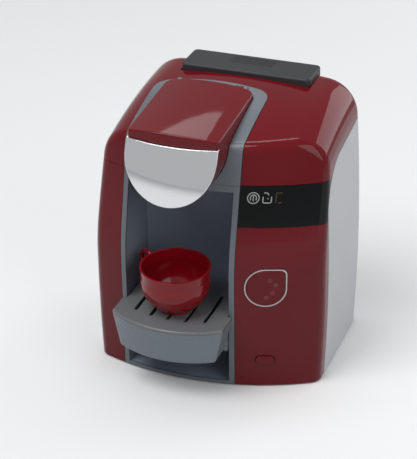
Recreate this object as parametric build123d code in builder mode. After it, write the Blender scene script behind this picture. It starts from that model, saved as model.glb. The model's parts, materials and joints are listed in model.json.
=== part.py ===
from build123d import *
import os
from math import asin, cos, hypot, radians, sin, sqrt, tan

# Toy capsule coffee maker. Millimetres, +Z up, front towards -Y.
# Origin: middle of the overall footprint, on the surface it stands on.

# ---------------------------------------------------------------- fits
seam_gap = 0.3           # joint line between two shells
fit = 0.3                # static clearance between seated pieces
slide_fit = 0.35         # running clearance of sliding pieces
pin_fit = 0.06           # radial clearance of hinge pins

# ---------------------------------------------------------------- body form
body_width = 178.5       # widest, at waist_height
waist_height = 70.0
side_bow_radius = 1500.0  # the sides curve in towards top and bottom
body_depth = 168.0       # tray nose to rear face
roof_height = 215.5      # crown of the roof at the rear
roof_crown = 6.0         # rise of the roof from its sides to its middle
roof_drop = 18.8         # how far the roof falls from the rear to the front crease
roof_corner_radius = 28.0
crease_y = -23.0         # where the roof meets the leaning front
front_arc_radius = 195.0
front_nose_y = -52.4
lean_start_z = 108.0     # above this the front leans back
lean_angle = 12.5
lean_blend_radius = 150.0
front_edge_radius = 10.0
rear_edge_radius = 12.0
shell_wall = 2.2
shell_foot = 1.2         # the shells hang this far above the floor
brew_x = -18.0           # centre line of niche, tray, hood and lid

# ---------------------------------------------------------------- front layout
frame_width = 91.6       # grey frame, centred on the brewing line
seam_drop = 49.0         # level joint of the lower and upper shells, below roof_height
band_rear_y = 40.0       # rear of the grey arch round the lid
band_rear_arc_radius = 170.0
band_rear_radius = 12.0
band_proud = 0.8
display_height = 31.0    # the black panel hangs this far below the joint
side_split_setback = 12.0  # red wraps this far round the front corners
side_drop = 30.0           # red comes this far down the sides from the roof
side_sweep_radius = 40.0

# ---------------------------------------------------------------- niche
frame_border = 4.2       # the frame's front at each side of the niche
niche_top_drop = 5.5     # below the joint
niche_floor_z = 3.9
niche_floor_wall = 1.2
niche_wall = 1.6
niche_side_y = -4.0      # where the side walls meet the hollow back wall
niche_back_sag = 15.0

# ---------------------------------------------------------------- brewing head
hood_width = 71.0
hood_drop = 9.5          # its lowest point, below the joint
hood_rear_y = -10.0
hood_wall = 2.0
chrome_radius = 150.0    # the mirror plate is a patch of a sphere
chrome_nose_y = -68.0
chrome_centre_drop = 25.5  # below the joint, so the plate leans out towards its foot
chrome_wall = 2.2
deck_rise = 28.5         # the deck that holds the pod, over the joint
deck_wall = 2.0
deck_margin = 1.0        # from the pod's rim to the deck's front
pod_y = -22.0
pod_radius = 23.0
pod_rim_radius = 26.0
pod_rim_wall = 0.8
pod_depth = 6.0
pod_dome = 2.2
pod_pocket_depth = 8.0
spout_y = -42.0
spout_radius = 4.5
spout_bore_radius = 2.8
spout_drop = 4.0         # the spout shows this far below the hood

# ---------------------------------------------------------------- lid
lid_rise = 34.5          # underside of the lid at its front corners, over the joint
lid_side_height = 5.0
lid_crown = 3.5
lid_slope = 5.7          # degrees, rising to the rear
lid_front_y = -54.0
lid_rear_y = 29.0
lid_front_arc_radius = 150.0
lid_rear_corner_radius = 8.0
lid_front_corner_radius = 3.0
lid_edge_radius = 1.4
lid_wall = 2.0
liner_wall = 1.5
presser_radius = 17.0
presser_wall = 2.0
presser_gap = 3.4        # from the deck up to the presser
hinge_y = 32.5
hinge_drop = 3.3         # below roof_height, level with the arch, so the lid's rear edge clears it
hinge_pin_radius = 1.0
hinge_barrel_radius = 2.2
hinge_lug_width = 6.0
hinge_lug_offset = 22.0
hinge_bracket_wall = 2.6
hinge_bracket_height = 4.5

# ---------------------------------------------------------------- tray
tray_top_z = 63.0        # raised position
tray_height = 30.0
tray_half_width = 44.5
tray_arc_radius = 76.0
tray_apron_rear_y = -50.0
tray_rear_y = -6.0
tray_foot_half_width = 38.5
tray_foot_nose_setback = 3.2
tray_wall = 2.0
tray_rear_corner_radius = 4.0
tray_foot_edge_radius = 2.5
grille_wall = 2.6
grille_edge_radius = 1.2
slot_count = 5
slot_pitch = 13.9
slot_width = 2.8
slot_edge_margin = 15.0
slot_rear_y = -22.0
rail_depth = 2.2
rail_width = 5.0
rail_y = -14.0
rail_top_z = 66.0

# ---------------------------------------------------------------- cup
cup_y = -50.0
cup_rim_radius = 27.0
cup_height = 36.5
cup_foot_radius = 12.0
cup_foot_height = 1.5
cup_band_height = 8.0
cup_wall = 1.6
cup_ring_radius = 7.5
cup_ring_wire_radius = 1.9
cup_ring_direction = 151.0  # degrees round the cup, from +X

# ---------------------------------------------------------------- control column
start_offset = 22.2      # both buttons' middle, from the frame's side
start_z = 88.0
start_radius = 16.0
start_corner_radius = 4.0
start_ring_width = 1.0
start_ring_proud = 0.6
start_ring_depth = 4.0
button_proud = 1.4
button_travel = 1.5
button_wall = 2.0
flange_width = 1.6
flange_wall = 1.2
sound_z = 24.2
sound_length = 15.0
sound_width = 8.0
board_depth = 17.0       # circuit board face behind the column's front
board_wall = 1.6
board_width = 36.0
board_bottom_z = 12.0
board_top_margin = 4.5   # from the board's top up to the display
board_post_radius = 3.5
board_post_offset_x = 14.0
board_post_low_z = 56.0
board_post_margin = 7.0  # from the upper posts to the board's top
guide_wall = 1.4
pad_height = 3.0
led_radius = 1.5
led_height = 4.0
light_radius = 2.0

# ---------------------------------------------------------------- base, batteries
base_wall = 2.6
battery_radius = 7.0
battery_length = 50.5
battery_count = 3
nub_length = 1.2
nub_radius = 2.7
battery_pitch = 15.0
battery_box_wall = 1.2
battery_box_gap = 1.3
contact_wall = 0.6
door_tongue = 9.0        # tab at the door's front, which the screw holds
door_tongue_width = 24.0
door_screw_inset = 4.5
screw_shank_radius = 1.3
screw_head_radius = 2.7
screw_head_height = 1.6
screw_recess = 0.5
post_radius = 4.0
post_height = 30.0
boss_height = 4.5
post_inset = 12.0        # screw posts stand this far inside the outer surface
rear_post_setback = 25.0
post_rib = 2.0
front_post_left_inset = 14.3   # from the body's side
front_post_right_offset = 15.35  # from the middle of the batteries

# ---------------------------------------------------------------- water tank
tank_width = 104.0
tank_depth = 31.0
tank_floor_z = 11.6
tank_wall = 1.8
tank_corner_radius = 4.0
tank_top_drop = 8.5      # below roof_height
tank_lid_height = 2.2   # the tank lid's edge stands this far above the roof
tank_rim_depth = 4.0
bay_wall = 1.6

# ---------------------------------------------------------------- sound, power
speaker_radius = 20.0
speaker_depth = 12.0
speaker_y = 25.0
speaker_z = 60.0
speaker_hole_radius = 1.2
speaker_hole_rings = 4
speaker_ring_pitch = 4.2
switch_inset = 20.3      # from the body's side
switch_z = 30.0
switch_knob_width = 3.8
switch_knob_height = 5.0
switch_travel = 4.5
switch_body_depth = 6.0
switch_body_width = 9.0

# ================================================================ worked-out places
rear_y = body_depth / 2
tray_nose_y = -body_depth / 2
axis_y = front_nose_y + front_arc_radius
frame_left = brew_x - frame_width / 2
frame_right = brew_x + frame_width / 2
niche_width = frame_width - 2 * frame_border
niche_right = brew_x + niche_width / 2 + niche_wall
start_x = frame_right + start_offset
seam_z = roof_height - seam_drop
display_bottom_z = seam_z - display_height
niche_top_z = seam_z - niche_top_drop
hood_bottom_z = seam_z - hood_drop
chrome_centre_z = seam_z - chrome_centre_drop
deck_z = seam_z + deck_rise
lid_side_z = seam_z + lid_rise
presser_bottom_z = deck_z + presser_gap
hinge_z = roof_height - hinge_drop
tank_top_z = roof_height - tank_top_drop
board_top_z = display_bottom_z - board_top_margin
board_post_high_z = board_top_z - board_post_margin
half_seam = seam_gap / 2
hood_radius = hood_width / 2
hood_centre_z = hood_bottom_z + hood_radius
tall = 300.0             # longer than the machine, for cuts that go right through
below_floor = 30.0       # forms are drawn down to here and cut off at the floor
front_axis = Axis((brew_x, axis_y, 0), (0, 0, 1))


def roof_z(y):
    """Height of the roof's crown at a distance from front to rear."""
    return roof_height - roof_drop * ((rear_y - y) / (rear_y - crease_y)) ** 2


def half_width(z):
    """Half width of the body, which bows gently in the front view."""
    return body_width / 2 - (z - waist_height) ** 2 / (2 * side_bow_radius)


def front_radius(z):
    """Radius of the front surface about the vertical line behind the machine."""
    return front_arc_radius - max(0, z - lean_start_z) * tan(radians(lean_angle))


def front_y(x, z=0.0, inset=0.0):
    """Front surface of the body at a place across it."""
    return axis_y - sqrt((front_radius(z) - inset) ** 2 - (x - brew_x) ** 2)


def block(x0, x1, y0, y1, z0, z1, mode=Mode.ADD):
    """A box between two corners, in the part that is being built."""
    with Locations(((x0 + x1) / 2, (y0 + y1) / 2, (z0 + z1) / 2)):
        Box(x1 - x0, y1 - y0, z1 - z0, mode=mode)


def rod(x, y, z0, z1, radius, mode=Mode.ADD):
    """An upright round rod or hole."""
    with Locations((x, y, (z0 + z1) / 2)):
        Cylinder(radius, z1 - z0, mode=mode)


def elevation(y):
    """Upright plane that faces forward, with X across and Z up."""
    return Plane(origin=(0, y, 0), x_dir=(1, 0, 0), z_dir=(0, -1, 0))


side_view = Plane(origin=(0, 0, 0), x_dir=(0, 1, 0), z_dir=(1, 0, 0))


# ================================================================ body form
def body_section(y, inset):
    """Front-view outline of the body at one station."""
    low_z = -20.0
    high_z = roof_z(y) - roof_crown - inset
    mid_z = (low_z + high_z) / 2
    low = half_width(low_z) - inset
    mid = half_width(mid_z) - inset
    high = half_width(high_z) - inset
    with BuildSketch(elevation(y)) as section:
        with BuildLine():
            Line((-low, low_z), (low, low_z))
            ThreePointArc((low, low_z), (mid, mid_z), (high, high_z))
            ThreePointArc((high, high_z), (0, high_z + roof_crown), (-high, high_z))
            ThreePointArc((-high, high_z), (-mid, mid_z), (-low, low_z))
        make_face()
        fillet(section.vertices().group_by(Axis.Y)[-1], roof_corner_radius - inset)
    return section.sketch


def is_front_edge(edge, inset):
    """Whether an edge is where the front surface meets a side or the roof."""
    for share in (0.1, 0.5, 0.9):
        point = edge.position_at(share)
        distance = hypot(point.X - brew_x, point.Y - axis_y)
        if abs(distance - front_radius(point.Z) + inset) > 1.2:
            return False
    middle = edge.position_at(0.5)
    on_side = abs(middle.X) > body_width / 2 - roof_corner_radius
    return middle.Z > seam_z + seam_gap or (on_side and edge.bounding_box().size.Z > 1)


def body_form(inset):
    """The whole body as one closed form, drawn in from its outside by inset."""
    stations = [front_nose_y - 22, front_nose_y + 8, crease_y, 5, 35, 60, rear_y + 12]
    radius = front_arc_radius - inset
    lean_run = (tall - lean_start_z) * tan(radians(lean_angle))
    with BuildPart() as form:
        loft(sections=[body_section(y, inset) for y in stations])
        with BuildSketch(Plane(origin=(brew_x, axis_y, 0), x_dir=(0, -1, 0), z_dir=(-1, 0, 0))) as profile:
            with BuildLine():
                Polyline(
                    (0, -below_floor),
                    (radius, -below_floor),
                    (radius, lean_start_z),
                    (radius - lean_run, tall),
                    (0, tall),
                    close=True,
                )
            make_face()
            kink = profile.vertices().filter_by_position(Axis.Y, lean_start_z - 1, lean_start_z + 1)
            fillet(kink, lean_blend_radius)
        revolve(axis=front_axis, mode=Mode.INTERSECT)
        foot = shell_foot if inset <= 0 else -10
        block(-body_width, body_width, -body_depth, rear_y - inset, foot, tall, Mode.INTERSECT)
        fillet(form.edges().filter_by(lambda edge: is_front_edge(edge, inset)), front_edge_radius - inset)
        rear_face = form.faces().sort_by(Axis.Y)[-1]
        rear_edges = rear_face.edges().filter_by(lambda edge: edge.center().Z > foot + 1)
        fillet(rear_edges, rear_edge_radius - inset)
    return form.part


outer_form = body_form(0)
inner_form = body_form(shell_wall)
skin = outer_form - inner_form


def side_zone(side, grow):
    """The grey side and rear of one half of the body, seen from its side and swept across."""
    corner_x = side * half_width(waist_height)
    split_y = front_y(corner_x) + side_split_setback - grow
    front_top = roof_z(split_y) - side_drop + grow
    rear_top = roof_z(rear_y) - side_drop + grow
    with BuildPart() as zone:
        with BuildSketch(side_view) as outline:
            with BuildLine():
                Polyline(
                    (split_y, -tall),
                    (rear_y + 10, -tall),
                    (rear_y + 10, rear_top),
                    (split_y, front_top),
                    close=True,
                )
            make_face()
            corner = outline.vertices().sort_by(Axis.X)[0:2].sort_by(Axis.Y)[-1]
            fillet(corner, side_sweep_radius)
        extrude(amount=side * body_width)
    return zone.part


grey_zone = side_zone(1, -half_seam) + side_zone(-1, -half_seam)
red_zone_cut = side_zone(1, half_seam) + side_zone(-1, half_seam)
red_skin = skin - red_zone_cut


def draw_hood(gap):
    """Front view of the brewing head, straight sides closed by a half round, in the sketch being drawn."""
    with Locations((brew_x, hood_centre_z)):
        Circle(hood_radius + gap)
        Rectangle(hood_width + 2 * gap, roof_height / 3, align=(Align.CENTER, Align.MIN))


def hood_prism(gap, y_front, y_rear, rear_radius=0):
    """The hood's outline run from front to rear, for the hood and for what it passes through."""
    with BuildPart() as prism:
        with BuildSketch(elevation(y_rear)):
            draw_hood(gap)
        extrude(amount=y_rear - y_front)
        if rear_radius:
            fillet(prism.edges().filter_by(Axis.Z).group_by(Axis.Y)[-1], rear_radius)
    return prism.part


def band_prism(gap):
    """Plan of the grey arch round the lid, above the joint line."""
    with BuildPart() as prism:
        with BuildSketch(Plane.XY.offset(seam_z + half_seam)) as plan:
            with Locations((brew_x, band_rear_y + gap)):
                Rectangle(frame_width + 2 * gap, tall, align=(Align.CENTER, Align.MAX))
            with Locations((brew_x, band_rear_y - band_rear_arc_radius)):
                Circle(band_rear_arc_radius + gap, mode=Mode.INTERSECT)
            fillet(plan.vertices().group_by(Axis.Y)[-1], band_rear_radius)
        extrude(amount=tall)
    return prism.part


lid_slope_rise = tan(radians(lid_slope))
lid_corner_y = lid_front_y + lid_front_arc_radius - sqrt(lid_front_arc_radius ** 2 - hood_radius ** 2)


def lid_slab(inset, low, high, crown):
    """A layer of the sloping lid between two heights over its underside."""
    start_y = lid_front_y - 30
    start_z = lid_side_z + (start_y - lid_corner_y) * lid_slope_rise
    half = hood_radius - inset
    wide = half + 5
    low_z = start_z + low
    top_z = start_z + high + crown
    edge_z = top_z - crown * (wide / hood_radius) ** 2
    with BuildPart() as slab:
        with BuildSketch(elevation(start_y)):
            with BuildLine():
                Line((brew_x - wide, edge_z), (brew_x - wide, low_z))
                Line((brew_x - wide, low_z), (brew_x + wide, low_z))
                Line((brew_x + wide, low_z), (brew_x + wide, edge_z))
                if crown:
                    ThreePointArc((brew_x + wide, edge_z), (brew_x, top_z), (brew_x - wide, edge_z))
                else:
                    Line((brew_x + wide, edge_z), (brew_x - wide, edge_z))
            make_face()
        extrude(amount=tall, dir=(0, cos(radians(lid_slope)), sin(radians(lid_slope))))
        with BuildSketch(Plane.XY) as plan:
            with Locations((brew_x, lid_rear_y - inset)):
                Rectangle(2 * half, tall, align=(Align.CENTER, Align.MAX))
            with Locations((brew_x, lid_front_y + lid_front_arc_radius)):
                Circle(lid_front_arc_radius - inset, mode=Mode.INTERSECT)
            fillet(plan.vertices().group_by(Axis.Y)[-1], lid_rear_corner_radius)
            fillet(plan.vertices().group_by(Axis.Y)[0], lid_front_corner_radius)
        extrude(amount=tall, mode=Mode.INTERSECT)
    return slab.part


def screw(x, y):
    """A pan-head screw that enters from below, in the part being built."""
    rod(x, y, screw_recess, screw_recess + screw_head_height, screw_head_radius)
    rod(x, y, screw_recess + screw_head_height, base_wall + boss_height + post_height / 3, screw_shank_radius)


def screw_hole(x, y, top_z):
    """The recess and hole for such a screw."""
    rod(x, y, -1, screw_recess + screw_head_height, screw_head_radius + fit, Mode.SUBTRACT)
    rod(x, y, -1, top_z, screw_shank_radius + fit, Mode.SUBTRACT)


def screw_post(x, y, wall_x, wall_y):
    """A hollow post that takes the screw, joined by a rib to the shell's wall."""
    foot_z = base_wall + boss_height + fit / 3
    top_z = foot_z + post_height
    with BuildPart() as post:
        rod(x, y, foot_z, top_z, post_radius)
        block(
            min(x - post_rib / 2, wall_x), max(x + post_rib / 2, wall_x),
            min(y - post_rib / 2, wall_y), max(y + post_rib / 2, wall_y), foot_z, top_z,
        )
        rod(x, y, foot_z - 1, top_z - shell_wall, screw_shank_radius + pin_fit / 2, Mode.SUBTRACT)
        add(wall_form, mode=Mode.INTERSECT)
    return post.part


def column_plane(z, depth=0.0):
    """Upright plane facing out of the control column, behind its front by depth."""
    turn = asin((start_x - brew_x) / front_arc_radius)
    outward = (sin(turn), -cos(turn), 0)
    origin = (start_x - outward[0] * depth, front_y(start_x) - outward[1] * depth, z)
    return Plane(origin=origin, x_dir=(cos(turn), sin(turn), 0), z_dir=outward)


def start_outline(radius):
    """Round button outline with one squared corner at its upper right."""
    with BuildSketch() as outline:
        Circle(radius)
        Rectangle(radius, radius, align=(Align.MIN, Align.MIN))
        fillet(outline.vertices().sort_by_distance((0, 0, 0))[-1], start_corner_radius)
    return outline.sketch


def sound_outline(grow):
    """Long round-ended button outline."""
    with BuildSketch() as outline:
        SlotOverall(sound_length + 2 * grow, sound_width + 2 * grow)
    return outline.sketch


lid_opening = hood_prism(fit, front_nose_y - 20, lid_rear_y + 2 * fit, lid_rear_corner_radius)
hood_passage = hood_prism(fit, front_nose_y - 20, hood_rear_y + fit)
lid_space = lid_slab(-lid_rear_corner_radius, -fit, tall / 2, 0)
raised_skin = body_form(-band_proud) - inner_form
wall_form = body_form(shell_wall / 2)
lining_form = body_form(shell_wall + fit / 3)
base_form = body_form(shell_wall + fit)

tank_front_y = rear_y - tank_depth
tank_half = tank_width / 2
switch_x = half_width(switch_z) - switch_inset
battery_x = (niche_right + half_width(0) - shell_wall) / 2
battery_rear_y = tank_front_y - bay_wall - 3 * fit - battery_box_wall - battery_box_gap
battery_front_y = battery_rear_y - battery_length
front_post_left_x = front_post_left_inset - half_width(post_height)
front_post_right_x = battery_x + front_post_right_offset
rear_post_x = half_width(post_height) - post_inset
rear_post_y = rear_y - rear_post_setback

screw_places = [
    (front_post_left_x, front_y(front_post_left_x) + post_inset),
    (front_post_right_x, front_y(front_post_right_x) + post_inset),
    (-rear_post_x, rear_post_y),
    (rear_post_x, rear_post_y),
]
post_left = screw_post(*screw_places[0], front_post_left_x, front_y(front_post_left_x))
post_right = screw_post(*screw_places[1], front_post_right_x, front_y(front_post_right_x))
post_rear_left = screw_post(*screw_places[2], -half_width(post_height), rear_post_y)
post_rear_right = screw_post(*screw_places[3], half_width(post_height), rear_post_y)

board_post_places = [
    (x, z) for x in (-board_post_offset_x, board_post_offset_x) for z in (board_post_low_z, board_post_high_z)
]

# ================================================================ front and top shells
with BuildPart() as front_shell_left:
    add(red_skin)
    block(-tall, frame_left - half_seam, -tall, tall, -1, seam_z - half_seam, Mode.INTERSECT)
    add(post_left)

with BuildPart() as board_posts:
    with BuildSketch(column_plane(0, board_depth)):
        with Locations(*board_post_places):
            Circle(board_post_radius)
    extrude(amount=board_depth)
    with BuildSketch(column_plane(0, board_depth)):
        with Locations(*board_post_places):
            Circle(screw_shank_radius + pin_fit / 2)
    extrude(amount=board_depth / 2, mode=Mode.SUBTRACT)
    add(wall_form, mode=Mode.INTERSECT)

with BuildPart() as front_shell_right:
    add(red_skin)
    block(frame_right + half_seam, tall, -tall, tall, -1, display_bottom_z - half_seam, Mode.INTERSECT)
    add(post_right)
    add(board_posts.part)
    with BuildSketch(column_plane(start_z, board_depth / 2)):
        add(start_outline(start_radius + fit / 2))
    extrude(amount=board_depth, mode=Mode.SUBTRACT)
    with BuildSketch(column_plane(sound_z, board_depth / 2)):
        add(sound_outline(slide_fit / 2))
    extrude(amount=board_depth, mode=Mode.SUBTRACT)

with BuildPart() as display_panel:
    add(red_skin)
    block(
        frame_right + half_seam, tall, -tall, tall,
        display_bottom_z + half_seam, seam_z - half_seam, Mode.INTERSECT,
    )

with BuildPart() as top_cover:
    add(red_skin)
    block(-tall, tall, -tall, tall, seam_z + half_seam, tall, Mode.INTERSECT)
    add(band_prism(seam_gap), mode=Mode.SUBTRACT)
    block(-tank_half - fit, tank_half + fit, tank_front_y - fit, tall, 0, tall, Mode.SUBTRACT)

# ================================================================ grey frame and niche
with BuildPart() as niche_frame:
    add(red_skin)
    block(
        frame_left + half_seam, frame_right - half_seam, -tall, 0,
        -1, seam_z - half_seam, Mode.INTERSECT,
    )
    block(
        brew_x - niche_width / 2, brew_x + niche_width / 2, -tall, 0,
        niche_floor_z, niche_top_z, Mode.SUBTRACT,
    )
    add(hood_passage, mode=Mode.SUBTRACT)


def niche_plan(grow):
    """Plan of the niche: straight sides and a hollow back."""
    half = niche_width / 2 + grow
    front = front_nose_y - 10
    with BuildSketch() as plan:
        with BuildLine():
            Line((brew_x - half, niche_side_y), (brew_x - half, front))
            Line((brew_x - half, front), (brew_x + half, front))
            Line((brew_x + half, front), (brew_x + half, niche_side_y))
            ThreePointArc(
                (brew_x + half, niche_side_y),
                (brew_x, niche_side_y + niche_back_sag + grow),
                (brew_x - half, niche_side_y),
            )
        make_face()
    return plan.sketch


with BuildPart() as niche_liner:
    with BuildSketch(Plane.XY.offset(niche_floor_z - niche_floor_wall)):
        add(niche_plan(niche_wall))
    extrude(amount=niche_top_z - niche_floor_z + niche_floor_wall + niche_wall)
    with BuildSketch(Plane.XY.offset(niche_floor_z)):
        add(niche_plan(0))
    extrude(amount=niche_top_z - niche_floor_z, mode=Mode.SUBTRACT)
    add(lining_form, mode=Mode.INTERSECT)
    add(hood_passage, mode=Mode.SUBTRACT)

with BuildPart() as tray_rails:
    for side in (-1, 1):
        wall_x = brew_x + side * niche_width / 2
        inner_x = wall_x - side * rail_depth
        block(
            min(wall_x, inner_x), max(wall_x, inner_x),
            rail_y - rail_width / 2, rail_y + rail_width / 2, niche_floor_z, rail_top_z,
        )

# ================================================================ arch round the lid
lug_places = [brew_x - hinge_lug_offset, brew_x + hinge_lug_offset]
bracket_reach = hinge_lug_width / 2 + slide_fit + hinge_bracket_wall
hinge_line = Plane(origin=(0, hinge_y, hinge_z), x_dir=(0, 1, 0), z_dir=(1, 0, 0))


def cross_rod(x0, x1, radius, mode=Mode.ADD):
    """A round rod or hole along the lid's hinge line."""
    with BuildSketch(hinge_line.offset(x0)) as section:
        Circle(radius)
    extrude(section.sketch, amount=x1 - x0, mode=mode)


with BuildPart() as lid_surround:
    add(raised_skin)
    add(band_prism(0), mode=Mode.INTERSECT)
    add(lid_opening, mode=Mode.SUBTRACT)
    for x in lug_places:
        block(
            x - bracket_reach, x + bracket_reach, hinge_y - hinge_barrel_radius, hinge_y + hinge_barrel_radius,
            hinge_z - hinge_bracket_height, hinge_z,
        )
        cross_rod(x - bracket_reach, x + bracket_reach, hinge_barrel_radius)
        block(
            x - hinge_lug_width / 2 - slide_fit, x + hinge_lug_width / 2 + slide_fit,
            lid_rear_y, hinge_y + hinge_barrel_radius + slide_fit,
            hinge_z - hinge_barrel_radius - slide_fit, tall, Mode.SUBTRACT,
        )
        cross_rod(x - bracket_reach, x + bracket_reach, hinge_pin_radius + pin_fit / 2, Mode.SUBTRACT)

with BuildPart() as lid_hinge_pins:
    for x in lug_places:
        cross_rod(x - bracket_reach, x + bracket_reach, hinge_pin_radius)

# ================================================================ brewing head
chrome_centre = (brew_x, chrome_nose_y + chrome_radius, chrome_centre_z)
pocket_floor_z = deck_z - pod_pocket_depth - deck_wall
pocket_radius = pod_radius + 1
deck_half = hood_radius - hood_wall - fit / 2

with BuildPart() as brew_hood:
    with BuildSketch(elevation(hood_rear_y)):
        draw_hood(0)
    extrude(amount=tall / 4)
    with BuildSketch(elevation(hood_rear_y - hood_wall)):
        draw_hood(-hood_wall)
    extrude(amount=tall / 4, mode=Mode.SUBTRACT)
    block(
        brew_x - hood_radius + hood_wall, brew_x + hood_radius - hood_wall,
        hood_rear_y - 2 * hood_wall, tall, pocket_floor_z - fit, tall, Mode.SUBTRACT,
    )
    for side in (-1, 1):
        wall_x = brew_x + side * (hood_radius - hood_wall / 2)
        block(
            wall_x - hood_wall / 2, wall_x + hood_wall / 2,
            hood_rear_y, lid_rear_y - lid_rear_corner_radius, pocket_floor_z - fit, roof_height,
        )
    with Locations(chrome_centre):
        Sphere(chrome_radius - chrome_wall - fit / 2, mode=Mode.INTERSECT)
    add(lid_space, mode=Mode.SUBTRACT)
    rod(brew_x, spout_y, 0, hood_centre_z, spout_radius + fit, Mode.SUBTRACT)

with BuildPart() as chrome_front:
    with BuildSketch(elevation(front_nose_y + 20)):
        draw_hood(0)
    extrude(amount=40)
    with Locations(chrome_centre):
        Sphere(chrome_radius, mode=Mode.INTERSECT)
        Sphere(chrome_radius - chrome_wall, mode=Mode.SUBTRACT)
    add(lid_space, mode=Mode.SUBTRACT)

with BuildPart() as pod_holder:
    block(
        brew_x - deck_half, brew_x + deck_half,
        pod_y - pod_rim_radius - deck_margin, lid_rear_y - lid_wall - deck_margin,
        deck_z - deck_wall, deck_z,
    )
    rod(brew_x, pod_y, pocket_floor_z, deck_z, pocket_radius + deck_wall)
    rod(brew_x, pod_y, pocket_floor_z + deck_wall, deck_z + 1, pocket_radius, Mode.SUBTRACT)
    rod(brew_x, spout_y, 0, deck_z, spout_bore_radius, Mode.SUBTRACT)

with BuildPart() as spout:
    spout_top_z = pocket_floor_z - fit / 3
    rod(brew_x, spout_y, hood_bottom_z - spout_drop, spout_top_z, spout_radius)
    rod(brew_x, spout_y, spout_top_z - deck_wall, spout_top_z, spout_radius + deck_wall)
    rod(brew_x, spout_y, 0, spout_top_z + 1, spout_bore_radius, Mode.SUBTRACT)

with BuildPart() as coffee_pod:
    rim_z = deck_z + fit / 3
    block(
        brew_x, brew_x + pod_rim_radius + 5, pod_y - 4, pod_y + 4,
        rim_z, rim_z + pod_rim_wall,
    )
    rod(brew_x, pod_y, rim_z, rim_z + pod_rim_wall, pod_rim_radius)
    with BuildSketch(Plane(origin=(brew_x, pod_y, rim_z), x_dir=(1, 0, 0), z_dir=(0, -1, 0))):
        with BuildLine():
            Polyline(
                (0, pod_rim_wall + pod_dome),
                (0, -pod_depth),
                (pod_radius * 0.7, -pod_depth),
                (pod_radius, pod_rim_wall / 2),
            )
            TangentArc((0, pod_rim_wall + pod_dome), (pod_radius, pod_rim_wall / 2), tangent=(1, 0))
        make_face()
    revolve(axis=Axis((brew_x, pod_y, 0), (0, 0, 1)))

# ================================================================ lid
lid_outside = lid_slab(0, 0, lid_side_height, lid_crown)
lid_inside = lid_slab(lid_wall, -1, lid_side_height - lid_wall, lid_crown)
liner_room = lid_slab(lid_wall + fit, -20, liner_wall, 0)
liner_plate = lid_slab(lid_wall + fit, fit / 2, liner_wall, 0)

with BuildPart() as lid:
    add(lid_outside)
    fillet(lid.faces().sort_by(Axis.Z)[-1].edges(), lid_edge_radius)
    add(lid_inside, mode=Mode.SUBTRACT)
    for x in lug_places:
        block(
            x - hinge_lug_width / 2, x + hinge_lug_width / 2, lid_rear_y - lid_wall / 2, hinge_y,
            hinge_z - hinge_barrel_radius, hinge_z + hinge_barrel_radius,
        )
        cross_rod(x - hinge_lug_width / 2, x + hinge_lug_width / 2, hinge_barrel_radius)
        cross_rod(x - hinge_lug_width, x + hinge_lug_width, hinge_pin_radius + pin_fit, Mode.SUBTRACT)

with BuildPart() as lid_liner:
    rod(brew_x, pod_y, presser_bottom_z, deck_z + 20, presser_radius)
    rod(brew_x, pod_y, presser_bottom_z - 1, deck_z + 21, presser_radius - presser_wall, Mode.SUBTRACT)
    add(liner_room, mode=Mode.INTERSECT)
    add(liner_plate)

# ================================================================ drip tray
tray_low_z = tray_top_z - tray_height
tray_rim_z = tray_top_z - grille_wall
tray_rear_half = niche_width / 2 - 2 * fit


def tray_apron(inset, z, share):
    """Plan of the tray's front at a height; share is 0 at its foot and 1 at its top."""
    half = tray_foot_half_width + (tray_half_width - tray_foot_half_width) * share - inset
    nose_y = tray_nose_y + tray_foot_nose_setback * (1 - share)
    with BuildSketch(Plane.XY.offset(z)) as plan:
        with Locations((brew_x, tray_apron_rear_y - inset)):
            Rectangle(2 * half, tall, align=(Align.CENTER, Align.MAX))
        with Locations((brew_x, nose_y + tray_arc_radius)):
            Circle(tray_arc_radius - inset, mode=Mode.INTERSECT)
        fillet(plan.vertices().group_by(Axis.Y)[0], tray_rear_corner_radius)
    return plan.sketch


def tray_rear(inset):
    """Plan of the part of the tray that runs in the niche."""
    with BuildSketch() as plan:
        with Locations((brew_x, tray_rear_y - inset)):
            Rectangle(
                2 * (tray_rear_half - inset), tray_rear_y - tray_apron_rear_y + 1,
                align=(Align.CENTER, Align.MAX),
            )
        fillet(plan.vertices().group_by(Axis.Y)[-1], tray_rear_corner_radius)
    return plan.sketch


def cut_rail_grooves():
    """Grooves in both sides that ride on the niche's rails."""
    for side in (-1, 1):
        outer_x = brew_x + side * niche_width / 2
        inner_x = outer_x - side * (rail_depth + slide_fit)
        block(
            min(outer_x, inner_x), max(outer_x, inner_x),
            rail_y - rail_width / 2 - slide_fit, rail_y + rail_width / 2 + slide_fit,
            0, tray_top_z + 1, Mode.SUBTRACT,
        )


with BuildPart() as drip_tray:
    loft(sections=[tray_apron(0, tray_low_z, 0), tray_apron(0, tray_rim_z, 1)])
    with BuildSketch(Plane.XY.offset(tray_low_z)):
        add(tray_rear(0))
    extrude(amount=tray_rim_z - tray_low_z)
    foot_edges = drip_tray.faces().sort_by(Axis.Z)[0].edges()
    fillet(foot_edges.filter_by(lambda edge: edge.center().Y < tray_apron_rear_y - 1), tray_foot_edge_radius)
    loft(
        sections=[tray_apron(tray_wall, tray_low_z + tray_wall, 0), tray_apron(tray_wall, tray_rim_z, 1)],
        mode=Mode.SUBTRACT,
    )
    with BuildSketch(Plane.XY.offset(tray_low_z + tray_wall)):
        add(tray_rear(2 * tray_wall))
    extrude(amount=tray_height, mode=Mode.SUBTRACT)
    cut_rail_grooves()

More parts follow.
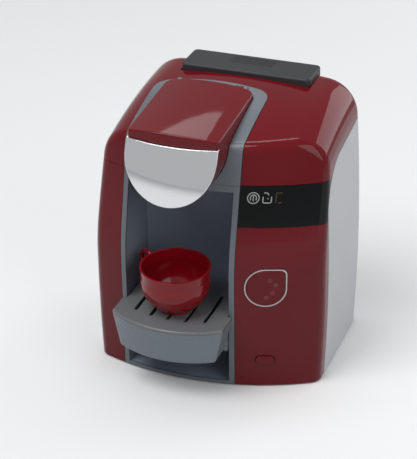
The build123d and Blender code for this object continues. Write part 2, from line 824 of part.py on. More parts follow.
with BuildPart() as tray_grille:
    with BuildSketch(Plane.XY.offset(tray_rim_z)):
        add(tray_apron(0, 0, 1))
        add(tray_rear(0))
    extrude(amount=grille_wall)
    front_rim = tray_grille.faces().sort_by(Axis.Z)[-1].edges()
    fillet(front_rim.filter_by(lambda edge: edge.center().Y < tray_apron_rear_y - 1), grille_edge_radius)
    cut_rail_grooves()
    for i in range(slot_count):
        offset = (i - (slot_count - 1) / 2) * slot_pitch
        front = tray_nose_y + tray_arc_radius - sqrt(tray_arc_radius ** 2 - offset ** 2) + slot_edge_margin
        with BuildSketch(Plane.XY.offset(tray_rim_z - 1)):
            with Locations((brew_x + offset, (front + slot_rear_y) / 2)):
                SlotOverall(slot_rear_y - front, slot_width, rotation=90)
        extrude(amount=tray_height, mode=Mode.SUBTRACT)

# ================================================================ cup
cup_rim_z = tray_top_z + cup_height
cup_band_z = cup_rim_z - cup_band_height
cup_waist_radius = cup_rim_radius - 0.6
cup_belly_radius = (cup_foot_radius + cup_waist_radius) / 2 + 3.2
cup_belly_z = tray_top_z + cup_foot_height + (cup_band_z - tray_top_z - cup_foot_height) * 0.34
ring_turn = radians(cup_ring_direction)
ring_reach = cup_rim_radius + cup_ring_radius - 1.2
ring_centre = (
    brew_x + ring_reach * cos(ring_turn),
    cup_y + ring_reach * sin(ring_turn),
    cup_rim_z - cup_ring_radius - cup_ring_wire_radius - 0.4,
)
ring_plane = Plane(origin=ring_centre, x_dir=(cos(ring_turn), sin(ring_turn), 0), z_dir=(0, 0, 1))


def cup_outline(inset):
    """Half section of the bowl of the cup, closed on its own axis."""
    foot_radius = cup_foot_radius - inset
    foot_z = tray_top_z + inset
    foot_top_z = foot_z + cup_foot_height
    with BuildSketch() as outline:
        with BuildLine():
            Line((0, foot_z), (foot_radius, foot_z))
            Line((foot_radius, foot_z), (foot_radius, foot_top_z))
            ThreePointArc(
                (foot_radius, foot_top_z),
                (cup_belly_radius - inset * 0.8, cup_belly_z + inset * 0.6),
                (cup_waist_radius - inset, cup_band_z),
            )
            Line((cup_waist_radius - inset, cup_band_z), (cup_rim_radius - inset, cup_rim_z))
            Line((cup_rim_radius - inset, cup_rim_z), (0, cup_rim_z))
            Line((0, cup_rim_z), (0, foot_z))
        make_face()
    return outline.sketch


cup_axis = Axis((brew_x, cup_y, 0), (0, 0, 1))
cup_section = Plane(origin=(brew_x, cup_y, 0), x_dir=(1, 0, 0), z_dir=(0, -1, 0))

with BuildPart() as cup:
    with BuildSketch(ring_plane):
        with Locations((cup_ring_radius, 0)):
            Circle(cup_ring_wire_radius)
    revolve(axis=Axis(ring_centre, (-sin(ring_turn), cos(ring_turn), 0)))
    with BuildSketch(cup_section):
        add(cup_outline(0))
    revolve(axis=cup_axis)
    with BuildSketch(cup_section):
        add(cup_outline(cup_wall))
    revolve(axis=cup_axis, mode=Mode.SUBTRACT)

# ================================================================ buttons on the column
start_face_radius = start_radius - start_ring_width - slide_fit
start_flange_depth = start_ring_depth + slide_fit
sound_flange_depth = shell_wall + 2 * slide_fit
stem_end = board_depth - pad_height - button_travel - fit


def start_face(grow):
    """The start button's outline, grown or shrunk."""
    return start_outline(start_face_radius + grow)


def sound_face(grow):
    """The sound button's outline, grown or shrunk."""
    return sound_outline(grow - slide_fit / 2)


def make_button(z, face, flange_depth):
    """A cap with a retaining flange behind the shell and a stem over its contact pad."""
    flange_back = flange_depth + flange_wall
    with BuildPart() as button:
        with BuildSketch(column_plane(z, flange_back)):
            add(face(0))
        extrude(amount=flange_back + button_proud)
        fillet(button.faces().sort_by(Axis((0, 0, 0), column_plane(0).z_dir))[-1].edges(), button_proud / 2)
        with BuildSketch(column_plane(z, flange_back)):
            add(face(flange_width - slide_fit))
        extrude(amount=flange_wall)
        with BuildSketch(column_plane(z, flange_back)):
            add(face(-button_wall))
        extrude(amount=flange_back + button_proud - button_wall, mode=Mode.SUBTRACT)
        with BuildSketch(column_plane(z, stem_end)):
            Circle(button_wall)
        extrude(amount=stem_end + button_proud - button_wall / 2)
    return button.part


def button_guide(z, face, front_depth):
    """An upright wall round a button's flange, standing on the circuit board."""
    with BuildPart() as guide:
        with BuildSketch(column_plane(z, board_depth - fit / 3)):
            add(face(flange_width + guide_wall))
            add(face(flange_width), mode=Mode.SUBTRACT)
        extrude(amount=board_depth - fit / 3 - front_depth)
    return guide.part


light_places = [(3.2, 7.4), (7.6, 3.4), (5.2, -3.4), (0.6, -7.4)]
start_body = make_button(start_z, start_face, start_flange_depth)
sound_body = make_button(sound_z, sound_face, sound_flange_depth)
start_guide = button_guide(start_z, start_face, start_ring_depth + fit / 2)
sound_guide = button_guide(sound_z, sound_face, sound_flange_depth)

with BuildPart() as start_button:
    add(start_body)
    with BuildSketch(column_plane(start_z, start_ring_depth)):
        with Locations(*light_places):
            Circle(light_radius + pin_fit)
    extrude(amount=start_ring_depth + 2 * button_proud, mode=Mode.SUBTRACT)

with BuildPart() as light_lenses:
    with BuildSketch(column_plane(start_z, button_wall - button_proud)):
        with Locations(*light_places):
            Circle(light_radius)
    extrude(amount=button_wall + fit / 2)

with BuildPart() as sound_button:
    add(sound_body)

with BuildPart() as start_ring:
    with BuildSketch(column_plane(start_z, start_ring_depth)):
        add(start_outline(start_radius))
        add(start_outline(start_radius - start_ring_width), mode=Mode.SUBTRACT)
    extrude(amount=start_ring_depth + start_ring_proud)

with BuildPart() as button_guides:
    add(start_guide)
    add(sound_guide)

with BuildPart() as contact_pads:
    for z in (start_z, sound_z):
        with BuildSketch(column_plane(z, board_depth - fit / 3)):
            Circle(2 * button_wall - slide_fit)
        extrude(amount=pad_height, taper=20)

# ================================================================ electronics
with BuildPart() as circuit_board:
    with BuildSketch(column_plane(0, board_depth + board_wall)):
        with Locations((0, (board_bottom_z + board_top_z) / 2)):
            Rectangle(board_width, board_top_z - board_bottom_z)
        with Locations(*board_post_places):
            Circle(screw_shank_radius + fit, mode=Mode.SUBTRACT)
    extrude(amount=board_wall)

with BuildPart() as board_screws:
    head_depth = board_depth + board_wall + screw_head_height
    with BuildSketch(column_plane(0, head_depth)):
        with Locations(*board_post_places):
            Circle(screw_head_radius)
    extrude(amount=screw_head_height)
    with BuildSketch(column_plane(0, head_depth - screw_head_height)):
        with Locations(*board_post_places):
            Circle(screw_shank_radius)
    extrude(amount=board_wall + board_depth / 3)

with BuildPart() as indicator_leds:
    with BuildSketch(column_plane(start_z, board_depth - fit / 3)):
        with Locations(*light_places):
            Circle(led_radius)
    extrude(amount=led_height)

speaker_face_x = -(half_width(speaker_z - speaker_radius) - shell_wall - fit)
speaker_plane = Plane(origin=(speaker_face_x, speaker_y, speaker_z), x_dir=(0, 1, 0), z_dir=(1, 0, 0))

with BuildPart() as speaker:
    with BuildSketch(speaker_plane):
        Circle(speaker_radius)
    extrude(amount=speaker_depth / 4)
    with BuildSketch(speaker_plane):
        Circle(speaker_radius * 0.55)
    extrude(amount=speaker_depth)

# ================================================================ rear housing, switch, tank bay
knob_low_z = switch_z - switch_knob_height / 2
knob_high_z = switch_z + switch_knob_height / 2
knob_half = switch_knob_width / 2
wall_inside_y = rear_y - shell_wall

with BuildPart() as rear_housing:
    add(skin)
    add(grey_zone, mode=Mode.INTERSECT)
    block(-tank_half - fit, tank_half + fit, tank_front_y, tall, tank_floor_z, tall, Mode.SUBTRACT)
    add(post_rear_left)
    add(post_rear_right)
    with BuildSketch(speaker_plane.offset(-shell_wall * 3)):
        Circle(speaker_hole_radius)
        for ring in range(1, speaker_hole_rings):
            with PolarLocations(ring * speaker_ring_pitch, 6 * ring):
                Circle(speaker_hole_radius)
    extrude(amount=shell_wall * 3, mode=Mode.SUBTRACT)
    block(
        switch_x - knob_half - slide_fit, switch_x + knob_half + slide_fit, wall_inside_y - 1, tall,
        knob_low_z - slide_fit, knob_high_z + switch_travel + slide_fit, Mode.SUBTRACT,
    )

with BuildPart() as power_switch_knob:
    block(
        switch_x - knob_half, switch_x + knob_half, wall_inside_y - 1, rear_y - fit / 2,
        knob_low_z, knob_high_z,
    )
    block(
        switch_x - knob_half - 1, switch_x + knob_half + 1, wall_inside_y - slide_fit - 1, wall_inside_y - slide_fit,
        knob_low_z - 1, knob_high_z + 1,
    )

with BuildPart() as switch_body:
    block(
        switch_x - switch_body_width / 2, switch_x + switch_body_width / 2,
        wall_inside_y - switch_body_depth, wall_inside_y - fit / 3,
        knob_low_z - 4, knob_high_z + switch_travel + 4,
    )
    block(
        switch_x - knob_half - 1 - slide_fit, switch_x + knob_half + 1 + slide_fit,
        wall_inside_y - 3 * slide_fit - 1, tall,
        knob_low_z - 1 - slide_fit, knob_high_z + switch_travel + 1 + slide_fit, Mode.SUBTRACT,
    )

with BuildPart() as tank_bay:
    block(
        -tank_half - fit - bay_wall, tank_half + fit + bay_wall,
        tank_front_y - fit - bay_wall, tall, tank_floor_z - bay_wall, tall,
    )
    block(-tank_half - fit, tank_half + fit, tank_front_y - fit, tall, tank_floor_z, tall, Mode.SUBTRACT)
    add(lining_form, mode=Mode.INTERSECT)


def draw_tank_plan(inset):
    """Plan of the water tank, drawn in by inset."""
    with Locations((0, rear_y - tank_depth / 2)):
        RectangleRounded(
            tank_width - 2 * inset, tank_depth - 2 * inset, max(tank_corner_radius - inset, tank_wall),
        )


with BuildPart() as water_tank:
    with BuildSketch(Plane.XY.offset(tank_floor_z + fit / 3)):
        draw_tank_plan(0)
    extrude(amount=tank_top_z - tank_floor_z - fit / 3)
    with BuildSketch(Plane.XY.offset(tank_floor_z + fit / 3 + tank_wall)):
        draw_tank_plan(tank_wall)
    extrude(amount=tall, mode=Mode.SUBTRACT)

with BuildPart() as tank_lid:
    lid_top_z = roof_height + tank_lid_height
    with BuildSketch(Plane.XY.offset(tank_top_z)):
        draw_tank_plan(0)
    extrude(amount=lid_top_z - tank_top_z)
    fillet(tank_lid.faces().sort_by(Axis.Z)[-1].edges(), tank_wall)
    with BuildSketch(Plane.XY.offset(tank_top_z - tank_rim_depth)):
        draw_tank_plan(tank_wall + fit)
    extrude(amount=tank_rim_depth)
    with BuildSketch(Plane.XY.offset(tank_top_z - tank_rim_depth)):
        draw_tank_plan(2 * tank_wall + fit)
    extrude(amount=lid_top_z - tank_top_z + tank_rim_depth - tank_wall, mode=Mode.SUBTRACT)

# ================================================================ base and batteries
bay_left = battery_x - battery_pitch * (battery_count - 1) / 2 - battery_radius - battery_box_gap
bay_right = battery_x + battery_pitch * (battery_count - 1) / 2 + battery_radius + battery_box_gap
bay_front = battery_front_y - battery_box_gap
bay_rear = battery_front_y + battery_length + battery_box_gap
bay_top_z = base_wall + fit + 2 * battery_radius + battery_box_gap
battery_z = base_wall + 2 * fit + battery_radius
door_front = bay_front - door_tongue
door_screw_place = (battery_x, door_front + door_screw_inset)
door_post_top_z = board_bottom_z - 1


def door_block(grow, z0, z1, mode=Mode.ADD):
    """The battery door's plan between two heights: the bay and a narrow tab before it."""
    tab_half = door_tongue_width / 2 + grow
    block(bay_left - grow, bay_right + grow, bay_front - grow, bay_rear + grow, z0, z1, mode)
    block(battery_x - tab_half, battery_x + tab_half, door_front - grow, bay_front + 1, z0, z1, mode)


with BuildPart() as base_plate:
    block(-tall, tall, -tall, tall, 0, base_wall)
    for x, y in screw_places:
        rod(x, y, 0, base_wall + boss_height, post_radius)
    add(base_form, mode=Mode.INTERSECT)
    for x, y in screw_places:
        screw_hole(x, y, tall)
    door_block(fit, -1, base_wall + 1, Mode.SUBTRACT)

with BuildPart() as base_screws:
    for x, y in screw_places:
        screw(x, y)

with BuildPart() as battery_door:
    door_block(0, 0, base_wall - fit / 2)
    screw_hole(*door_screw_place, tall)

with BuildPart() as battery_door_screw:
    door_screw_z = screw_recess + screw_head_height
    rod(*door_screw_place, screw_recess, door_screw_z, screw_head_radius)
    rod(*door_screw_place, door_screw_z, base_wall + battery_radius, screw_shank_radius)

with BuildPart() as battery_box:
    block(
        bay_left - battery_box_wall, bay_right + battery_box_wall,
        bay_front - battery_box_wall, bay_rear + battery_box_wall,
        base_wall + fit / 3, bay_top_z + battery_box_wall,
    )
    block(
        battery_x - battery_box_wall, battery_x + battery_box_wall,
        door_screw_place[1], bay_front, base_wall + fit / 3, door_post_top_z,
    )
    rod(*door_screw_place, base_wall + fit / 3, door_post_top_z, post_radius - 0.5)
    rod(*door_screw_place, 0, door_post_top_z - battery_box_wall, screw_shank_radius + pin_fit / 2, Mode.SUBTRACT)
    block(bay_left, bay_right, bay_front, bay_rear, -1, bay_top_z, Mode.SUBTRACT)

battery_places = [battery_x + (i - (battery_count - 1) / 2) * battery_pitch for i in range(battery_count)]

with BuildPart() as batteries:
    for i, x in enumerate(battery_places):
        facing = 1 if i % 2 else -1
        flat_end_y = battery_front_y + battery_length / 2 * (1 - facing)
        flat_end = Plane(origin=(x, flat_end_y, battery_z), x_dir=(1, 0, 0), z_dir=(0, facing, 0))
        with BuildSketch(flat_end):
            Circle(battery_radius)
        extrude(amount=battery_length - nub_length)
        with BuildSketch(flat_end):
            Circle(nub_radius)
        extrude(amount=battery_length)

with BuildPart() as battery_contacts:
    contact_half = battery_radius * 0.75
    for x in battery_places:
        for y in (bay_front + fit / 3, bay_rear - fit / 3 - contact_wall):
            block(
                x - contact_half, x + contact_half, y, y + contact_wall,
                battery_z - contact_half, battery_z + contact_half,
            )

# ================================================================ pieces
pieces = {
    "front_shell_left": front_shell_left,
    "front_shell_right": front_shell_right,
    "display_panel": display_panel,
    "top_cover": top_cover,
    "niche_frame": niche_frame,
    "niche_liner": niche_liner,
    "tray_rails": tray_rails,
    "lid_surround": lid_surround,
    "lid_hinge_pins": lid_hinge_pins,
    "brew_hood": brew_hood,
    "chrome_front": chrome_front,
    "pod_holder": pod_holder,
    "spout": spout,
    "coffee_pod": coffee_pod,
    "lid": lid,
    "lid_liner": lid_liner,
    "drip_tray": drip_tray,
    "tray_grille": tray_grille,
    "cup": cup,
    "start_button": start_button,
    "light_lenses": light_lenses,
    "sound_button": sound_button,
    "start_ring": start_ring,
    "button_guides": button_guides,
    "contact_pads": contact_pads,
    "circuit_board": circuit_board,
    "board_screws": board_screws,
    "indicator_leds": indicator_leds,
    "speaker": speaker,
    "rear_housing": rear_housing,
    "power_switch_knob": power_switch_knob,
    "switch_body": switch_body,
    "tank_bay": tank_bay,
    "water_tank": water_tank,
    "tank_lid": tank_lid,
    "base_plate": base_plate,
    "base_screws": base_screws,
    "battery_door": battery_door,
    "battery_door_screw": battery_door_screw,
    "battery_box": battery_box,
    "batteries": batteries,
    "battery_contacts": battery_contacts,
}

os.makedirs("parts", exist_ok=True)
for name, piece in pieces.items():
    piece.part.label = name
    export_step(piece.part, f"parts/{name}.step")
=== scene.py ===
"""Looks of a toy capsule coffee maker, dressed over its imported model.

Lengths are metres in the model's frame: +Z up, the front towards -Y, and the floor at zero.
Sizes that are easier to read in millimetres are written as a number times MM.
"""

import json
import logging
import math
from dataclasses import dataclass
from enum import Enum
from typing import Any, Iterable, Sequence

import bmesh
import bpy
import numpy as np
from mathutils import Matrix, Vector
from mathutils.bvhtree import BVHTree

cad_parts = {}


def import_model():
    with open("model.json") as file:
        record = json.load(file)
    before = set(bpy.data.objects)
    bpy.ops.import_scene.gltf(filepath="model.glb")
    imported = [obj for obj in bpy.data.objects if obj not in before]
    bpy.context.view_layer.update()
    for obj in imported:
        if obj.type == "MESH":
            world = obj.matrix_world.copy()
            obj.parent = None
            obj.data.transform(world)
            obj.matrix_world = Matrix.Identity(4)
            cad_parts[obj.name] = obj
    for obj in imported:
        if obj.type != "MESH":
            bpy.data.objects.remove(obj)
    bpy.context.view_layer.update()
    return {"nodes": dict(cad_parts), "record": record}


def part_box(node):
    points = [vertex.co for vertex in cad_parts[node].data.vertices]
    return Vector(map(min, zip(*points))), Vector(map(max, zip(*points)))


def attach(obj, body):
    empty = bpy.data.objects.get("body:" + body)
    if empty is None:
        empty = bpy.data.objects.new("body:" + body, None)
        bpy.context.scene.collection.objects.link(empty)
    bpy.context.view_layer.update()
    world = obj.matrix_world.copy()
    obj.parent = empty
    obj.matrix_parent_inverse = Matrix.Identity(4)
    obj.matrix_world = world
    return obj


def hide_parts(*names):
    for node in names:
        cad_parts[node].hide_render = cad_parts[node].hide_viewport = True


MM = 0.001
WELD = 0.001 * MM
log = logging.getLogger("coffee_maker")

Socket = bpy.types.NodeSocket
Tree = bpy.types.NodeTree
Point = tuple[float, float]
Place = tuple[float, float, float]

UP: Place = (0.0, 0.0, 1.0)
REARWARD: Place = (0.0, 1.0, 0.0)


# ------------------------------------------------------------------ small tools
def linear(hex_colour: str) -> tuple[float, float, float, float]:
    """Turns an sRGB hex colour into linear light.

    Args:
        hex_colour: Six hex digits with a leading hash.

    Returns:
        Red, green, blue and an alpha of one.
    """
    channels = [int(hex_colour[i:i + 2], 16) / 255 for i in (1, 3, 5)]
    red, green, blue = (
        c / 12.92 if c <= 0.04045 else ((c + 0.055) / 1.055) ** 2.4 for c in channels)
    return red, green, blue, 1.0


def add_node(tree: Tree, kind: str, settings: dict[str, Any] | None = None,
             inputs: dict[str | int, Any] | None = None) -> bpy.types.Node:
    """Adds one node, sets its properties, and sets or links its inputs.

    Args:
        tree: Node tree that gets the node.
        kind: Blender's class name of the node.
        settings: Properties of the node by name.
        inputs: Values, an output socket or a list of them to link, by the input's name or index.

    Returns:
        The new node.
    """
    node = tree.nodes.new(kind)
    for name, value in (settings or {}).items():
        setattr(node, name, value)
    for key, value in (inputs or {}).items():
        if isinstance(value, Socket):
            tree.links.new(value, node.inputs[key])
        elif isinstance(value, list):
            for source in value:
                tree.links.new(source, node.inputs[key])
        else:
            node.inputs[key].default_value = value
    return node


def empty_tree(owner: bpy.types.Material | bpy.types.World) -> Tree:
    """Gives a material or a world a node tree without nodes."""
    owner.use_nodes = True
    owner.node_tree.nodes.clear()
    return owner.node_tree


def new_object(name: str, mesh: bpy.types.Mesh) -> bpy.types.Object:
    """Puts a mesh into the scene as an object at the origin."""
    piece = bpy.data.objects.new(name, mesh)
    bpy.context.scene.collection.objects.link(piece)
    return piece


def mesh_from(name: str, points: Iterable[Sequence[float]],
              faces: Iterable[Sequence[int]]) -> bpy.types.Mesh:
    """Makes a mesh.

    Args:
        name: Name of the mesh.
        points: Corners in metres.
        faces: Indices of each face's corners.

    Returns:
        The new mesh.
    """
    mesh = bpy.data.meshes.new(name)
    mesh.from_pydata([tuple(p) for p in points], [], [tuple(f) for f in faces])
    mesh.update()
    return mesh


def surface_of(node: bpy.types.Object) -> BVHTree:
    """Search tree of a node's own triangles, for laying details on them."""
    mesh = node.data
    corners = [v.co.copy() for v in mesh.vertices]
    return BVHTree.FromPolygons(corners, [tuple(p.vertices) for p in mesh.polygons])


def islands_of(node: bpy.types.Object) -> list[np.ndarray]:
    """Finds a node's separate bodies.

    Args:
        node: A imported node, whose triangles are loose.

    Returns:
        The corner points of each body, in order across the machine.
    """
    shape = bmesh.new()
    shape.from_mesh(node.data)
    bmesh.ops.remove_doubles(shape, verts=shape.verts, dist=WELD)
    unseen = set(shape.verts)
    islands = []
    while unseen:
        queue = [unseen.pop()]
        found = []
        while queue:
            corner = queue.pop()
            found.append(tuple(corner.co))
            for edge in corner.link_edges:
                other = edge.other_vert(corner)
                if other in unseen:
                    unseen.remove(other)
                    queue.append(other)
        islands.append(np.array(found))
    shape.free()
    return sorted(islands, key=lambda points: tuple(points.mean(axis=0).round(5)))


def finish_piece(piece: bpy.types.Object, material: bpy.types.Material, body: str) -> None:
    """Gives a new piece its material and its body.

    Args:
        piece: The piece.
        material: Its only material.
        body: Body of the model that it moves with.
    """
    piece.data.materials.clear()
    piece.data.materials.append(material)
    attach(piece, body)
    log.info("piece %s rides on %s", piece.name, body)


# ------------------------------------------------------------------ finishes
class Texture(Enum):
    """How the tool that moulds a piece was finished."""

    POLISHED = "polished"
    SATIN = "satin"
    SPARKED = "sparked"


GRAIN_ROUGHNESS = {Texture.POLISHED: 0.5, Texture.SATIN: 0.5, Texture.SPARKED: 0.7}


@dataclass(frozen=True)
class Finish:
    """A real surface: its name and its main colour."""

    name: str
    colour: str

    def build(self) -> bpy.types.Material:
        """Builds the finish as a material.

        Returns:
            The new material.
        """
        material = bpy.data.materials.new(self.name)
        tree = empty_tree(material)
        place = add_node(tree, "ShaderNodeTexCoord").outputs["Object"]
        add_node(tree, "ShaderNodeOutputMaterial", None, {"Surface": self.shader(tree, place)})
        return material

    def shader(self, tree: Tree, place: Socket) -> Socket:
        """Adds the nodes that make the surface.

        Args:
            tree: The material's tree.
            place: Object coordinates in metres.

        Returns:
            The shader's output.
        """
        raise NotImplementedError


@dataclass(frozen=True)
class MouldedPlastic(Finish):
    """Injection-moulded ABS or polypropylene.

    A polished tool leaves a faint orange peel, a satin one a fine even grain and a
    sparked one a coarse stipple. Flow of the melt varies the colour a little, and
    every edge is broken by a small radius that catches the light.
    """

    shade: str
    texture: Texture
    roughness: float
    grain_mm: float
    height_mm: float
    coat: float = 0.0
    flow_mm: float = 45.0
    edge_mm: float = 0.35
    specular: float = 0.5
    spread: float = 0.1
    ior: float = 1.5
    coat_roughness: float = 0.04

    def shader(self, tree: Tree, place: Socket) -> Socket:
        """Adds the plastic: flow lines in the colour, grain in the gloss and the relief.

        Args:
            tree: The material's tree.
            place: Object coordinates in metres.

        Returns:
            The shader's output.
        """
        flow = add_node(tree, "ShaderNodeTexNoise", None, {
            "Vector": place, "Scale": 1 / (self.flow_mm * MM), "Detail": 2.0, "Roughness": 0.45})
        tint = add_node(tree, "ShaderNodeMix", {"data_type": "RGBA"}, {
            "Factor": flow.outputs["Fac"], 6: linear(self.colour), 7: linear(self.shade)})
        grain = add_node(tree, "ShaderNodeTexNoise", None, {
            "Vector": place, "Scale": 1 / (self.grain_mm * MM), "Detail": 3.0,
            "Roughness": GRAIN_ROUGHNESS[self.texture]})
        dulled = add_node(tree, "ShaderNodeMapRange", None, {
            "Value": grain.outputs["Fac"], "To Min": self.roughness * (1 - self.spread),
            "To Max": self.roughness * (1 + self.spread)})
        edges = add_node(tree, "ShaderNodeBevel", {"samples": 4}, {"Radius": self.edge_mm * MM})
        bump = add_node(tree, "ShaderNodeBump", None, {
            "Height": grain.outputs["Fac"], "Distance": self.height_mm * MM, "Strength": 1.0,
            "Normal": edges.outputs[0]})
        return add_node(tree, "ShaderNodeBsdfPrincipled", None, {
            "Base Color": tint.outputs[2], "Roughness": dulled.outputs[0], "IOR": self.ior,
            "Specular IOR Level": self.specular, "Coat Weight": self.coat,
            "Coat Roughness": self.coat_roughness, "Normal": bump.outputs[0]}).outputs[0]


@dataclass(frozen=True)
class PlatedMetal(Finish):
    """Metal or metal-plated plastic, with polish marks that soften its mirror a little."""

    roughness: float
    mark_mm: float
    height_mm: float
    edge_mm: float = 0.3
    spread: float = 0.3

    def shader(self, tree: Tree, place: Socket) -> Socket:
        """Adds the metal: polish marks in the gloss and the relief.

        Args:
            tree: The material's tree.
            place: Object coordinates in metres.

        Returns:
            The shader's output.
        """
        marks = add_node(tree, "ShaderNodeTexNoise", None, {
            "Vector": place, "Scale": 1 / (self.mark_mm * MM), "Detail": 3.0})
        dulled = add_node(tree, "ShaderNodeMapRange", None, {
            "Value": marks.outputs["Fac"], "To Min": self.roughness * (1 - self.spread),
            "To Max": self.roughness * (1 + self.spread)})
        edges = add_node(tree, "ShaderNodeBevel", {"samples": 6}, {"Radius": self.edge_mm * MM})
        bump = add_node(tree, "ShaderNodeBump", None, {
            "Height": marks.outputs["Fac"], "Distance": self.height_mm * MM, "Strength": 1.0,
            "Normal": edges.outputs[0]})
        return add_node(tree, "ShaderNodeBsdfPrincipled", None, {
            "Base Color": linear(self.colour), "Metallic": 1.0, "Roughness": dulled.outputs[0],
            "Normal": bump.outputs[0]}).outputs[0]


@dataclass(frozen=True)
class ClearPlastic(Finish):
    """Tinted clear polystyrene or polycarbonate, seen through with a glossy face."""

    roughness: float
    transmission: float
    swirl_mm: float = 6.0
    spread: float = 0.2
    ior: float = 1.49

    def shader(self, tree: Tree, place: Socket) -> Socket:
        """Adds the clear plastic, with faint swirls in its gloss.

        Args:
            tree: The material's tree.
            place: Object coordinates in metres.

        Returns:
            The shader's output.
        """
        swirl = add_node(tree, "ShaderNodeTexNoise", None, {
            "Vector": place, "Scale": 1 / (self.swirl_mm * MM), "Detail": 2.0})
        dulled = add_node(tree, "ShaderNodeMapRange", None, {
            "Value": swirl.outputs["Fac"], "To Min": self.roughness * (1 - self.spread),
            "To Max": self.roughness * (1 + self.spread)})
        return add_node(tree, "ShaderNodeBsdfPrincipled", None, {
            "Base Color": linear(self.colour), "Roughness": dulled.outputs[0], "IOR": self.ior,
            "Transmission Weight": self.transmission}).outputs[0]


# The finish of each of the record's material slots. A plastic's numbers are its roughness, and
# the width and height of its grain in millimetres; a metal's are its roughness, and the width
# and height of its polish marks; a clear plastic's are its roughness and transmission.
FINISHES: dict[str, Finish] = {
    # Polished ABS in deep ruby: sharp gloss with faint orange peel.
    "shell_red": MouldedPlastic(
        "gloss_ruby_abs", "#6C0814", "#640712", Texture.POLISHED, 0.05, 3.0, 0.0012,
        specular=0.25),
    # Polished black acrylic: deep black with a sharp gloss.
    "display_black": MouldedPlastic(
        "black_acrylic", "#0A0B0D", "#08090A", Texture.POLISHED, 0.06, 6.0, 0.001,
        specular=0.2),
    # Satin-moulded ABS with a metallic blue-grey pigment: soft broad highlights.
    "frame_grey": MouldedPlastic(
        "satin_blue_grey_abs", "#676E75", "#60676E", Texture.SATIN, 0.28, 0.8, 0.004),
    # The same plastic in a warmer silver grey, its edges broken wide enough to gleam.
    "tray_grey": MouldedPlastic(
        "satin_silver_abs", "#707274", "#696B6D", Texture.SATIN, 0.24, 0.8, 0.003,
        edge_mm=0.9),
    # Satin polypropylene in slate: even and nearly without highlights.
    "niche_dark": MouldedPlastic(
        "satin_slate_pp", "#808996", "#78818E", Texture.SATIN, 0.42, 0.8, 0.005),
    # Light grey ABS from a lightly sparked tool: soft sheen, fine stipple.
    "housing_grey": MouldedPlastic(
        "sparked_pale_abs", "#C4C7CA", "#BDC0C3", Texture.SPARKED, 0.45, 0.7, 0.010),
    # Charcoal ABS from a coarser sparked tool: dull stipple.
    "base_dark": MouldedPlastic(
        "sparked_charcoal_abs", "#26282B", "#212326", Texture.SPARKED, 0.55, 0.8, 0.016),
    # White polystyrene: smooth and slightly waxy.
    "pod_white": MouldedPlastic(
        "smooth_white_ps", "#E4DFD6", "#DDD8CE", Texture.SATIN, 0.35, 1.5, 0.003),
    # ABS in the shells' ruby, a little darker and less glossy: sets the buttons off.
    "button_satin": MouldedPlastic(
        "gloss_dark_ruby_abs", "#680813", "#600711", Texture.POLISHED, 0.16, 1.6, 0.003,
        specular=0.25),
    # Plain grey ABS of the hidden guides: no highlights.
    "inner_grey": MouldedPlastic(
        "plain_grey_abs", "#8A8C8E", "#828486", Texture.SATIN, 0.5, 1.0, 0.006),
    # Carbon-filled silicone of the contact pads: matt.
    "rubber_pad": MouldedPlastic(
        "matt_silicone", "#2A2A2A", "#252525", Texture.SPARKED, 0.8, 0.5, 0.008),
    # Epoxy board under green solder mask: smooth semi-gloss.
    "board_green": MouldedPlastic(
        "green_solder_mask", "#12532F", "#0F4628", Texture.SATIN, 0.3, 0.6, 0.004),
    # Black polyamide: dull.
    "speaker_black": MouldedPlastic(
        "dull_black_nylon", "#151515", "#101010", Texture.SPARKED, 0.6, 0.7, 0.008),
    # Printed film round a cell: glossy charcoal.
    "battery_sleeve": MouldedPlastic(
        "printed_cell_sleeve", "#2A2D30", "#24272A", Texture.POLISHED, 0.2, 4.0, 0.002,
        coat=0.3),
    # Bright chromium over polished ABS: a clean mirror.
    "chrome_plate": PlatedMetal("bright_chrome_plate", "#DCDDDF", 0.03, 5.0, 0.0004, edge_mm=0.8),
    # Zinc-plated steel: grey, half dull.
    "steel": PlatedMetal("zinc_plated_steel", "#B9BCC0", 0.32, 0.6, 0.002),
    # Dark red polycarbonate of the lights, which stay unlit: a dim glow in the button.
    "lens_red": ClearPlastic("clear_red_pc", "#740E19", 0.12, 0.10),
    # Smoke-tinted polystyrene of the water tank: the bay behind shows through.
    "tank_smoke": ClearPlastic("smoke_clear_ps", "#8C9299", 0.08, 0.85),
}

# Nodes that look a little different from the rest of their slot.
OTHER_FINISHES: dict[str, Finish] = {
    # Satin chromium on the narrow ring: a thin line, even from every side. Its faint pink tint is a
    # painted reflection of the red shells around it.
    "start_ring": PlatedMetal("satin_chrome_with_painted_pink_reflection", "#B4ABAB", 0.42, 1.0, 0.0008),
    # The tray's ABS: the frame's blue-grey, one shade paler, with the same satin.
    "drip_tray": MouldedPlastic(
        "satin_pale_blue_grey_abs", "#78818A", "#717A82", Texture.SATIN, 0.28, 0.8, 0.004,
        edge_mm=0.7),
    # The cup's polypropylene: a brighter red than the shells, with a softer gloss.
    "cup": MouldedPlastic(
        "gloss_cup_pp", "#860A18", "#7C0915", Texture.POLISHED, 0.14, 3.0, 0.002,
        specular=0.35),
}


class Ink(Enum):
    """Screen inks: dull, and slightly raised over the gloss."""

    # Pale grey ink: a crisp sign on the black.
    PALE = MouldedPlastic(
        "screen_printed_grey_ink", "#A9ABAB", "#A3A5A5", Texture.SATIN, 0.5, 0.5, 0.002)
    # Dark amber ink: a sign that only just shows.
    AMBER = MouldedPlastic(
        "screen_printed_amber_ink", "#43240F", "#3C200D", Texture.SATIN, 0.5, 0.5, 0.002)


